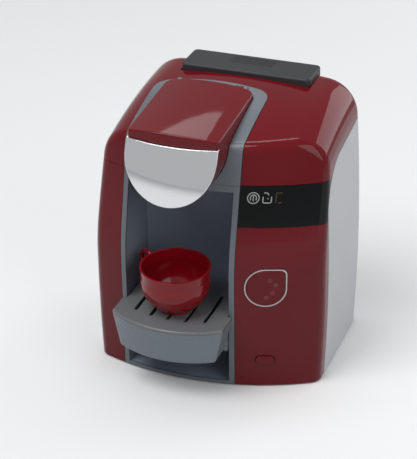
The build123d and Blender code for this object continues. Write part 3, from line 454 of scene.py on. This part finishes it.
# ------------------------------------------------------------------ studio
@dataclass(frozen=True)
class Lamp:
    """A soft box: its place, the size of its face, its power and the point it faces."""

    name: str
    place: Place
    size: Point
    watts: float
    target: Place = (0.0, 0.0, 0.11)

    def build(self) -> None:
        """Stands the lamp in the scene."""
        lamp = bpy.data.lights.new(self.name, "AREA")
        lamp.shape = "RECTANGLE"
        lamp.size, lamp.size_y = self.size
        lamp.energy = self.watts
        stand = bpy.data.objects.new(self.name, lamp)
        stand.location = self.place
        aim = Vector(self.target) - Vector(self.place)
        stand.rotation_euler = aim.to_track_quat("-Z", "Y").to_euler()
        stand.visible_camera = False
        bpy.context.scene.collection.objects.link(stand)


LAMPS = (
    Lamp("key", (-0.55, -0.80, 1.75), (1.1, 1.1), 21.0),
    Lamp("fill", (1.3, -0.7, 0.8), (0.9, 1.2), 6.5),
    Lamp("rear", (0.9, 1.2, 0.7), (1.0, 1.0), 7.0),
    # A long highlight on the roof's rounded right side.
    Lamp("top", (-0.24, 0.36, 1.65), (0.9, 0.22), 3.0),
    # The small highlight near the lid's front edge.
    Lamp("lid", (-0.13, 0.235, 0.445), (0.15, 0.035), 0.035, (-0.13, -0.04, 0.21)),
)


@dataclass
class Studio:
    """Floor, soft light and the camera.

    The camera, metal and glass all see the background's level. What lights dull faces is
    the lower ambient level, so that colours render about as they are written.
    """

    picture: tuple[int, int] = (417, 459)
    focal_pixels: float = 1567.0
    sensor_mm: float = 36.0
    view_end: float = 50.0
    eye: Place = (0.3702, -0.9866, 0.6868)
    azimuth: float = 21.09
    elevation: float = 28.79
    roll: float = -0.70
    floor_size: float = 8.0
    floor_colour: str = "#EDEEEF"
    floor_bounce: str = "#9A9A9A"
    floor_roughness: float = 0.9
    floor_specular: float = 0.1
    glow: float = 0.16
    glow_from: float = 0.4
    glow_to: float = 1.8
    world_colour: str = "#F4F5F6"
    ambient: float = 0.42
    backdrop: float = 0.62

    def build_floor(self) -> None:
        """Lays a pale floor, which keeps pale far away and throws back less light than it shows."""
        half = self.floor_size / 2
        corners = [(-half, -half, 0), (half, -half, 0), (half, half, 0), (-half, half, 0)]
        floor = new_object("studio_floor", mesh_from("studio_floor", corners, [(0, 1, 2, 3)]))
        material = bpy.data.materials.new("matt_paper")
        tree = empty_tree(material)
        bounced = add_node(tree, "ShaderNodeLightPath").outputs["Is Diffuse Ray"]
        place = add_node(tree, "ShaderNodeTexCoord").outputs["Object"]
        shown = add_node(tree, "ShaderNodeMix", {"data_type": "RGBA"}, {
            "Factor": bounced, 6: linear(self.floor_colour), 7: linear(self.floor_bounce)})
        distance = add_node(tree, "ShaderNodeVectorMath", {"operation": "LENGTH"}, {0: place})
        far = add_node(tree, "ShaderNodeMapRange", {"interpolation_type": "SMOOTHSTEP"}, {
            "Value": distance.outputs["Value"], "From Min": self.glow_from,
            "From Max": self.glow_to, "To Max": self.glow})
        glow = add_node(tree, "ShaderNodeMapRange", None, {
            "Value": bounced, "To Min": far.outputs[0], "To Max": 0.0})
        shader = add_node(tree, "ShaderNodeBsdfPrincipled", None, {
            "Base Color": shown.outputs[2], "Roughness": self.floor_roughness,
            "Specular IOR Level": self.floor_specular,
            "Emission Color": linear(self.floor_colour), "Emission Strength": glow.outputs[0]})
        add_node(tree, "ShaderNodeOutputMaterial", None, {"Surface": shader.outputs[0]})
        floor.data.materials.append(material)

    def light(self) -> None:
        """Lights the object softly, before a pale background that metal and glass show too."""
        world = bpy.data.worlds.new("studio")
        bpy.context.scene.world = world
        tree = empty_tree(world)
        path = add_node(tree, "ShaderNodeLightPath")
        seen = path.outputs["Is Camera Ray"]
        for ray in ("Is Transmission Ray", "Is Glossy Ray"):
            seen = add_node(tree, "ShaderNodeMath", {"operation": "MAXIMUM"}, {
                0: seen, 1: path.outputs[ray]}).outputs[0]
        strength = add_node(tree, "ShaderNodeMapRange", None, {
            "Value": seen, "To Min": self.ambient, "To Max": self.backdrop})
        back = add_node(tree, "ShaderNodeBackground", None, {
            "Color": linear(self.world_colour), "Strength": strength.outputs[0]})
        add_node(tree, "ShaderNodeOutputWorld", None, {"Surface": back.outputs[0]})
        for lamp in LAMPS:
            lamp.build()

    def add_camera(self) -> None:
        """Stands the camera where the machine is seen from above its front right corner."""
        azimuth, elevation, roll = (
            math.radians(a) for a in (self.azimuth, self.elevation, self.roll))
        forward = Vector((-math.sin(azimuth) * math.cos(elevation),
                          math.cos(azimuth) * math.cos(elevation), -math.sin(elevation)))
        across = Vector((math.cos(azimuth), math.sin(azimuth), 0))
        down = forward.cross(across)
        right = math.cos(roll) * across - math.sin(roll) * down
        below = math.sin(roll) * across + math.cos(roll) * down
        data = bpy.data.cameras.new("camera")
        data.sensor_width = self.sensor_mm
        data.lens = self.sensor_mm * self.focal_pixels / max(self.picture)
        data.clip_end = self.view_end
        camera = bpy.data.objects.new("camera", data)
        turn = Matrix((right, -below, -forward)).transposed()
        camera.matrix_world = Matrix.Translation(self.eye) @ turn.to_4x4()
        bpy.context.scene.collection.objects.link(camera)
        bpy.context.scene.camera = camera

    def build(self) -> None:
        """Builds the whole studio."""
        self.build_floor()
        self.light()
        self.add_camera()
        bpy.context.scene.view_settings.view_transform = "Standard"


# ------------------------------------------------------------------ shapes that a tree repeats
@dataclass(frozen=True)
class Seed:
    """A place where a tree puts one copy, and the way its top points."""

    place: Place
    direction: Place = UP


class GrownTree:
    """A Geometry Nodes tree with named inputs, which puts a shape on seeds."""

    def __init__(self, name: str, labels: Sequence[str]) -> None:
        """Opens the tree.

        Args:
            name: Name of the tree.
            labels: Names of its inputs, each a number.
        """
        self.tree = bpy.data.node_groups.new(name, "GeometryNodeTree")
        sockets = [("Seeds", "INPUT", "NodeSocketGeometry")]
        sockets += [(label, "INPUT", "NodeSocketFloat") for label in labels]
        sockets += [("Material", "INPUT", "NodeSocketMaterial"),
                    ("Shape", "OUTPUT", "NodeSocketGeometry")]
        for label, way, kind in sockets:
            self.tree.interface.new_socket(label, in_out=way, socket_type=kind)
        self.inputs = self.add("NodeGroupInput").outputs

    def add(self, kind: str, settings: dict[str, Any] | None = None,
            inputs: dict[str | int, Any] | None = None) -> bpy.types.Node:
        """Adds one node to the tree."""
        return add_node(self.tree, kind, settings, inputs)

    def scaled(self, value: Socket, factor: float) -> Socket:
        """A number times a factor."""
        return self.add("ShaderNodeMath", {"operation": "MULTIPLY"}, {
            0: value, 1: factor}).outputs[0]

    def lifted(self, shape: Socket, height: Socket) -> Socket:
        """A shape moved up by a height."""
        move = self.add("ShaderNodeCombineXYZ", None, {"Z": height})
        return self.add("GeometryNodeTransform", None, {
            "Geometry": shape, "Translation": move.outputs[0]}).outputs[0]

    def close(self, shape: Socket) -> None:
        """Ends the tree: the shape on every seed, made real and given its material.

        Args:
            shape: Output that holds one copy, its top towards +Z.
        """
        way = self.add("GeometryNodeInputNamedAttribute", {"data_type": "FLOAT_VECTOR"}, {
            "Name": "direction"})
        turn = self.add("FunctionNodeAlignRotationToVector", {"axis": "Z"}, {
            "Vector": way.outputs["Attribute"]})
        copies = self.add("GeometryNodeInstanceOnPoints", None, {
            "Points": self.inputs["Seeds"], "Instance": shape, "Rotation": turn.outputs[0]})
        real = self.add("GeometryNodeRealizeInstances", None, {"Geometry": copies.outputs[0]})
        dressed = self.add("GeometryNodeSetMaterial", None, {
            "Geometry": real.outputs[0], "Material": self.inputs["Material"]})
        self.add("NodeGroupOutput", None, {"Shape": dressed.outputs[0]})

    def grow(self, name: str, seeds: list[Seed], values: dict[str, float],
             material: bpy.types.Material) -> bpy.types.Object:
        """Runs the tree on seeds.

        Args:
            name: Name of the new piece.
            seeds: Places and directions of the copies.
            values: Value of each input by its name.
            material: Material of the piece.

        Returns:
            The piece, as a plain mesh.
        """
        points = bpy.data.meshes.new(name + "_seeds")
        points.from_pydata([seed.place for seed in seeds], [], [])
        ways = points.attributes.new("direction", "FLOAT_VECTOR", "POINT")
        ways.data.foreach_set("vector", [c for seed in seeds for c in seed.direction])
        piece = new_object(name, points)
        modifier = piece.modifiers.new("grow", "NODES")
        modifier.node_group = self.tree
        sockets = {item.name: item.identifier for item in self.tree.interface.items_tree
                   if item.in_out == "INPUT"}
        for label, value in (values | {"Material": material}).items():
            modifier[sockets[label]] = value
        bpy.context.view_layer.update()
        evaluated = piece.evaluated_get(bpy.context.evaluated_depsgraph_get())
        grown = bpy.data.meshes.new_from_object(evaluated)
        piece.modifiers.remove(modifier)
        piece.data = grown
        grown.name = name
        return piece


@dataclass
class Screws:
    """Self-tapping pan-head screws with a cross recess, in the places of the plain ones.

    The head is a rim under a dome, whose heights and radii are shares of the head's own.
    """

    head_radius: float = 2.7 * MM
    head_height: float = 1.6 * MM
    shank_radius: float = 1.3 * MM
    recess_width: float = 0.65 * MM
    recess_depth: float = 0.9 * MM
    rim_share: float = 0.6
    dome_share: float = 0.5
    dome_foot: float = 0.97
    dome_top: float = 0.66
    recess_reach: float = 1.15
    shank_sink: float = 0.49
    head_from: float = 1.5
    sides: int = 32

    def tree(self) -> GrownTree:
        """Draws one screw, its head's seat at zero and its shank below.

        Returns:
            The tree, whose inputs are the screw's sizes.
        """
        grown = GrownTree("pan_head_screws", (
            "Head Radius", "Head Height", "Shank Radius", "Shank Length", "Recess Width",
            "Recess Depth"))
        take = grown.inputs
        radius, height = take["Head Radius"], take["Head Height"]
        rim = grown.add("GeometryNodeMeshCylinder", {"fill_type": "NGON"}, {
            "Vertices": self.sides, "Radius": radius,
            "Depth": grown.scaled(height, self.rim_share)})
        dome = grown.add("GeometryNodeMeshCone", {"fill_type": "NGON"}, {
            "Vertices": self.sides, "Radius Bottom": grown.scaled(radius, self.dome_foot),
            "Radius Top": grown.scaled(radius, self.dome_top),
            "Depth": grown.scaled(height, self.dome_share)})
        head = grown.add("GeometryNodeMeshBoolean", {"operation": "UNION"}, {1: [
            grown.lifted(rim.outputs[0], grown.scaled(height, self.rim_share / 2)),
            grown.lifted(dome.outputs[0], grown.scaled(height, 1 - self.dome_share))]})
        reach = grown.scaled(radius, self.recess_reach)
        bars = []
        for across, along in ((reach, take["Recess Width"]), (take["Recess Width"], reach)):
            size = grown.add("ShaderNodeCombineXYZ", None, {
                "X": across, "Y": along, "Z": grown.scaled(take["Recess Depth"], 2.0)})
            bar = grown.add("GeometryNodeMeshCube", None, {"Size": size.outputs[0]})
            bars.append(grown.lifted(bar.outputs[0], height))
        cut = grown.add("GeometryNodeMeshBoolean", {"operation": "DIFFERENCE"}, {
            0: head.outputs[0], 1: bars})
        shank = grown.add("GeometryNodeMeshCylinder", {"fill_type": "NGON"}, {
            "Vertices": self.sides // 2, "Radius": take["Shank Radius"],
            "Depth": take["Shank Length"]})
        sunk = grown.lifted(shank.outputs[0],
                            grown.scaled(take["Shank Length"], -self.shank_sink))
        screw = grown.add("GeometryNodeJoinGeometry", None, {0: [cut.outputs[0], sunk]})
        grown.close(screw.outputs[0])
        return grown

    def seats(self, node: bpy.types.Object) -> tuple[list[Seed], float]:
        """Finds where a node's plain screws sit.

        Args:
            node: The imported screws.

        Returns:
            A seed at each head's seat that points out of the head, and the shanks' length.
        """
        seeds = []
        length = 0.0
        for points in islands_of(node):
            middle = points.mean(axis=0)
            axis = np.linalg.svd(points - middle)[2][0]
            along = (points - middle) @ axis
            across = np.linalg.norm(points - middle - np.outer(along, axis), axis=1)
            in_head = across > self.shank_radius * self.head_from
            if along[in_head].mean() < along[~in_head].mean():
                axis, along = -axis, -along
            seat = middle + axis * (along.max() - self.head_height)
            seeds.append(Seed(tuple(float(c) for c in seat), tuple(float(c) for c in axis)))
            length = float(along.max() - along.min() - self.head_height)
        return seeds, length

    def build(self, nodes: dict[str, bpy.types.Object], steel: bpy.types.Material) -> None:
        """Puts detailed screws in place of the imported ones.

        Args:
            nodes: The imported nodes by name.
            steel: Material of the screws.
        """
        grown = self.tree()
        for node in ("base_screws", "battery_door_screw", "board_screws"):
            seeds, length = self.seats(nodes[node])
            piece = grown.grow(f"{node}_with_recess", seeds, {
                "Head Radius": self.head_radius, "Head Height": self.head_height,
                "Shank Radius": self.shank_radius, "Shank Length": length,
                "Recess Width": self.recess_width, "Recess Depth": self.recess_depth}, steel)
            finish_piece(piece, steel, "machine")
            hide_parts(node)


@dataclass
class GripRibs:
    """Rows of half-round ribs for the fingers, on the tank lid and on the switch."""

    width: float = 1.0 * MM
    height: float = 0.45 * MM
    sides: int = 20
    lid_count: int = 5
    lid_inset: float = 5.0 * MM
    lid_pitch: float = 2.4 * MM
    lid_length: float = 34.0 * MM
    knob_pitch: float = 1.3 * MM
    knob_length: float = 3.0 * MM
    knob_rise: float = 0.7

    def tree(self) -> GrownTree:
        """Draws one rib along X, sunk to its middle.

        Returns:
            The tree, whose inputs are the rib's sizes.
        """
        grown = GrownTree("grip_ribs", ("Length", "Width", "Height"))
        take = grown.inputs
        bar = grown.add("GeometryNodeMeshCylinder", {"fill_type": "NGON"}, {
            "Vertices": self.sides, "Radius": 1.0, "Depth": 1.0})
        scale = grown.add("ShaderNodeCombineXYZ", None, {
            "X": take["Height"], "Y": grown.scaled(take["Width"], 0.5), "Z": take["Length"]})
        laid = grown.add("GeometryNodeTransform", None, {
            "Geometry": bar.outputs[0], "Rotation": (0, math.pi / 2, 0),
            "Scale": scale.outputs[0]})
        grown.close(laid.outputs[0])
        return grown

    def build(self, materials: dict[str, bpy.types.Material]) -> None:
        """Puts ribs on the tank lid and the switch.

        Args:
            materials: The built materials by slot.
        """
        grown = self.tree()
        low, high = (Vector(c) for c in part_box("tank_lid"))
        middle = (low + high) / 2
        rows = [Seed((middle.x, high.y - self.lid_inset - self.lid_pitch * i, high.z))
                for i in range(self.lid_count)]
        piece = grown.grow("tank_lid_grip", rows, {
            "Length": self.lid_length, "Width": self.width, "Height": self.height},
            materials["base_dark"])
        finish_piece(piece, materials["base_dark"], "tank_assembly")
        low, high = (Vector(c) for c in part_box("power_switch_knob"))
        middle = (low + high) / 2
        rows = [Seed((middle.x, high.y, middle.z + self.knob_pitch * i), REARWARD)
                for i in (-1, 0, 1)]
        piece = grown.grow("switch_knob_grip", rows, {
            "Length": self.knob_length, "Width": self.width,
            "Height": self.height * self.knob_rise}, materials["speaker_black"])
        finish_piece(piece, materials["speaker_black"], "switch_knob")


@dataclass
class LevelMarks:
    """Pale printed lines on the tank's rear face, which show how full it is."""

    count: int = 9
    low_z: float = 45.0 * MM
    pitch: float = 16.0 * MM
    inset_x: float = 14.0 * MM
    long: float = 10.0 * MM
    short: float = 5.0 * MM
    line_width: float = 0.8 * MM
    ink: float = 0.05 * MM
    rise: float = 0.4

    def build(self, ink: bpy.types.Material) -> None:
        """Prints long and short lines in turn.

        Args:
            ink: Material of the lines.
        """
        grown = GrownTree("level_marks", ("Length", "Width", "Ink"))
        take = grown.inputs
        size = grown.add("ShaderNodeCombineXYZ", None, {
            "X": take["Length"], "Y": take["Width"], "Z": take["Ink"]})
        line = grown.add("GeometryNodeMeshCube", None, {"Size": size.outputs[0]})
        grown.close(line.outputs[0])
        _, high = (Vector(c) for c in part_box("water_tank"))
        for name, length, first in (("long", self.long, 0), ("short", self.short, 1)):
            centre_x = high.x - self.inset_x - length / 2
            seeds = [Seed((centre_x, high.y + self.rise * self.ink, self.low_z + self.pitch * i),
                          REARWARD) for i in range(first, self.count, 2)]
            piece = grown.grow(f"tank_level_marks_{name}", seeds, {
                "Length": length, "Width": self.line_width, "Ink": self.ink}, ink)
            finish_piece(piece, ink, "tank_assembly")


@dataclass
class PodBeads:
    """Round beads pressed into the pod's rim and dome."""

    width: float = 0.8 * MM
    radii: tuple[float, ...] = (9.0 * MM, 11.0 * MM, 24.4 * MM)
    sink: float = 0.12
    ring_points: int = 96
    bead_points: int = 10
    probe_height: float = 50.0 * MM

    def build(self, pod: bpy.types.Object, material: bpy.types.Material) -> None:
        """Lays one bead on the pod for each radius.

        Args:
            pod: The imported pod.
            material: Material of the pod.
        """
        grown = GrownTree("pod_beads", ("Radius", "Width"))
        ring = grown.add("GeometryNodeCurvePrimitiveCircle", None, {
            "Resolution": self.ring_points, "Radius": grown.inputs["Radius"]})
        bead = grown.add("GeometryNodeCurvePrimitiveCircle", None, {
            "Resolution": self.bead_points, "Radius": grown.scaled(grown.inputs["Width"], 0.5)})
        shape = grown.add("GeometryNodeCurveToMesh", None, {
            "Curve": ring.outputs[0], "Profile Curve": bead.outputs[0]})
        smooth = grown.add("GeometryNodeSetShadeSmooth", None, {"Geometry": shape.outputs[0]})
        grown.close(smooth.outputs[0])
        low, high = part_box("coffee_pod")
        surface = surface_of(pod)
        centre_y = (low.y + high.y) / 2
        centre_x = low.x + (high.y - low.y) / 2
        for i, radius in enumerate(self.radii):
            above = Vector((centre_x, centre_y - radius, high.z + self.probe_height))
            hit, _, _, _ = surface.ray_cast(above, -Vector(UP))
            seed = Seed((centre_x, centre_y, hit.z - self.sink * self.width))
            piece = grown.grow(f"pod_bead_{i + 1}", [seed], {
                "Radius": radius, "Width": self.width}, material)
            finish_piece(piece, material, "machine")


# ------------------------------------------------------------------ prints on the display
class Icon(Enum):
    """Printed signs on the display."""

    FAN = "fan"
    CUP = "cup"
    POD = "pod"


@dataclass(frozen=True)
class Sign:
    """One printed sign: what it shows, its middle across the machine and its ink."""

    icon: Icon
    centre_x: float
    ink: Ink


SIGNS = (
    Sign(Icon.FAN, 37.6 * MM, Ink.PALE),
    Sign(Icon.CUP, 47.2 * MM, Ink.PALE),
    Sign(Icon.POD, 55.2 * MM, Ink.AMBER),
)

# Centre lines of the signs made of straight strokes, in shares of a sign's radius.
STROKES: dict[Icon, list[list[Point]]] = {
    Icon.CUP: [
        [(-0.72, 0.25), (-0.72, -0.7), (-0.55, -0.9), (0.55, -0.9), (0.72, -0.7), (0.72, 0.25)],
        [(-0.6, 0.95), (-0.1, 0.95), (0.12, 0.8), (0.2, 0.5)],
        [(0.12, 0.05), (0.12, -0.2)],
    ],
    Icon.POD: [
        [(-0.5, -0.9), (-0.5, 0.9), (0.55, 0.9)],
        [(-0.15, -0.9), (0.55, -0.9)],
    ],
}


@dataclass(frozen=True)
class FanSign:
    """The fan: a ring round a stem with a bent wing on each side, in shares of its radius."""

    ring_steps: int = 40
    wing_steps: int = 8
    wing_radius: float = 0.52
    wing_lift: float = 0.05
    wing_foot: float = -0.42
    wing_from: float = 0.08 * math.pi
    wing_sweep: float = 0.42 * math.pi
    stem_foot: float = -0.62
    stem_top: float = 0.55

    def strokes(self) -> list[list[Point]]:
        """Centre lines of the ring, the stem and both wings."""
        turns = [2 * math.pi * i / self.ring_steps for i in range(self.ring_steps + 1)]
        ring = [(math.cos(a), math.sin(a)) for a in turns]
        arc = [self.wing_from + self.wing_sweep * i / self.wing_steps
               for i in range(self.wing_steps + 1)]
        wing = [(self.wing_radius * math.cos(a), self.wing_radius * math.sin(a) + self.wing_lift)
                for a in arc]
        wing.insert(0, (wing[0][0], self.wing_foot))
        stem = [(0.0, self.stem_foot), (0.0, self.stem_top)]
        return [ring, stem, wing, [(-x, y) for x, y in wing]]


@dataclass
class DisplayPrint:
    """Three small printed signs near the top of the black display."""

    icon_radius: float = 4.0 * MM
    line_width: float = 0.72 * MM
    ink: float = 0.05 * MM
    sink: float = 0.2
    centre_z: float = 157.6 * MM
    step: float = 1.0 * MM
    closed_within: float = 0.01 * MM
    probe_y: float = -500.0 * MM

    def lines(self, icon: Icon) -> list[list[Point]]:
        """Centre lines of a sign in metres about its middle, cut short enough to bend."""
        shares = FanSign().strokes() if icon is Icon.FAN else STROKES[icon]
        return [self.divide([(x * self.icon_radius, y * self.icon_radius) for x, y in line])
                for line in shares]

    def divide(self, line: list[Point]) -> list[Point]:
        """Cuts long runs so that a print follows the curved panel."""
        fine: list[Point] = [line[0]]
        for start, end in zip(line, line[1:]):
            count = max(1, math.ceil(math.dist(start, end) / self.step))
            fine += [(start[0] + (end[0] - start[0]) * k / count,
                      start[1] + (end[1] - start[1]) * k / count) for k in range(1, count + 1)]
        return fine

    def on_surface(self, surface: BVHTree, x: float, z: float, lift: float) -> Vector:
        """Finds a point in front of the panel's face.

        Args:
            surface: The panel's triangles.
            x: Place across the machine.
            z: Height over the floor.
            lift: Distance in front of the face, below zero behind it.

        Returns:
            The point.
        """
        hit, _, _, _ = surface.ray_cast(Vector((x, self.probe_y, z)), Vector(REARWARD))
        if hit is None:
            raise ValueError("a sign reaches past the display panel")
        return hit - Vector(REARWARD) * lift

    def stroke(self, surface: BVHTree, centre_x: float,
               line: list[Point]) -> tuple[list[Vector], list[tuple[int, ...]]]:
        """Makes one stroke, with four corners at each of its points.

        Args:
            surface: The panel's triangles.
            centre_x: Place of the sign's middle across the machine.
            line: The stroke's centre line about the sign's middle.

        Returns:
            Corners, and faces by the corners' indices in this stroke.
        """
        closed = math.dist(line[0], line[-1]) < self.closed_within
        last = len(line) - 1
        corners: list[Vector] = []
        for i, (x, z) in enumerate(line):
            before, after = Vector(line[max(i - 1, 0)]), Vector(line[min(i + 1, last)])
            if closed and i in (0, last):
                before, after = Vector(line[-2]), Vector(line[1])
            along = (after - before).normalized()
            side = Vector((-along.y, along.x)) * self.line_width / 2
            for lift in (-self.sink * self.ink, self.ink):
                for sign in (-1, 1):
                    corners.append(self.on_surface(surface, centre_x + x + sign * side.x,
                                                   self.centre_z + z + sign * side.y, lift))
        faces: list[tuple[int, ...]] = []
        for a in range(0, 4 * last, 4):
            b = a + 4
            faces += [(a, a + 1, b + 1, b), (a + 2, b + 2, b + 3, a + 3),
                      (a, b, b + 2, a + 2), (a + 1, a + 3, b + 3, b + 1)]
        if not closed:
            end = 4 * last
            faces += [(0, 2, 3, 1), (end, end + 1, end + 3, end + 2)]
        return corners, faces

    def build(self, panel: bpy.types.Object, sign: Sign, ink: bpy.types.Material) -> None:
        """Builds one sign as a thin print that follows the display's surface.

        Args:
            panel: The display's object.
            sign: The sign.
            ink: Its ink's material.
        """
        surface = surface_of(panel)
        points: list[Vector] = []
        faces: list[tuple[int, ...]] = []
        for line in self.lines(sign.icon):
            corners, sides = self.stroke(surface, sign.centre_x, line)
            faces += [tuple(len(points) + corner for corner in face) for face in sides]
            points += corners
        name = f"display_sign_{sign.icon.value}"
        piece = new_object(name, mesh_from(name, points, faces))
        shape = bmesh.new()
        shape.from_mesh(piece.data)
        bmesh.ops.remove_doubles(shape, verts=shape.verts, dist=WELD)
        bmesh.ops.recalc_face_normals(shape, faces=shape.faces)
        shape.to_mesh(piece.data)
        shape.free()
        finish_piece(piece, ink, "machine")


# ------------------------------------------------------------------ the whole machine
def dress_nodes(frame: dict[str, Any]) -> dict[str, bpy.types.Material]:
    """Gives every carried-over node the finish of its record slot.

    Args:
        frame: What import_model returned.

    Returns:
        The built materials by slot.
    """
    materials = {slot: finish.build() for slot, finish in FINISHES.items()}
    for part in frame["record"]["subparts"]:
        node = frame["nodes"][part["node"]]
        node.data.materials.clear()
        node.data.materials.append(materials[part["material_slot"]])
        log.info("node %s is %s", part["node"], part["material_slot"])
    for name, finish in OTHER_FINISHES.items():
        frame["nodes"][name].data.materials[0] = finish.build()
    return materials


def main() -> None:
    """Builds the studio and the machine, and logs each piece."""
    logging.basicConfig(level=logging.INFO, format="%(name)s %(message)s")
    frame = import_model()
    nodes = frame["nodes"]
    materials = dress_nodes(frame)
    Studio().build()
    inks = {ink: ink.value.build() for ink in Ink}
    for sign in SIGNS:
        DisplayPrint().build(nodes["display_panel"], sign, inks[sign.ink])
    Screws().build(nodes, materials["steel"])
    GripRibs().build(materials)
    LevelMarks().build(inks[Ink.PALE])
    PodBeads().build(nodes["coffee_pod"], materials["pod_white"])


if __name__ == "__main__":
    main()
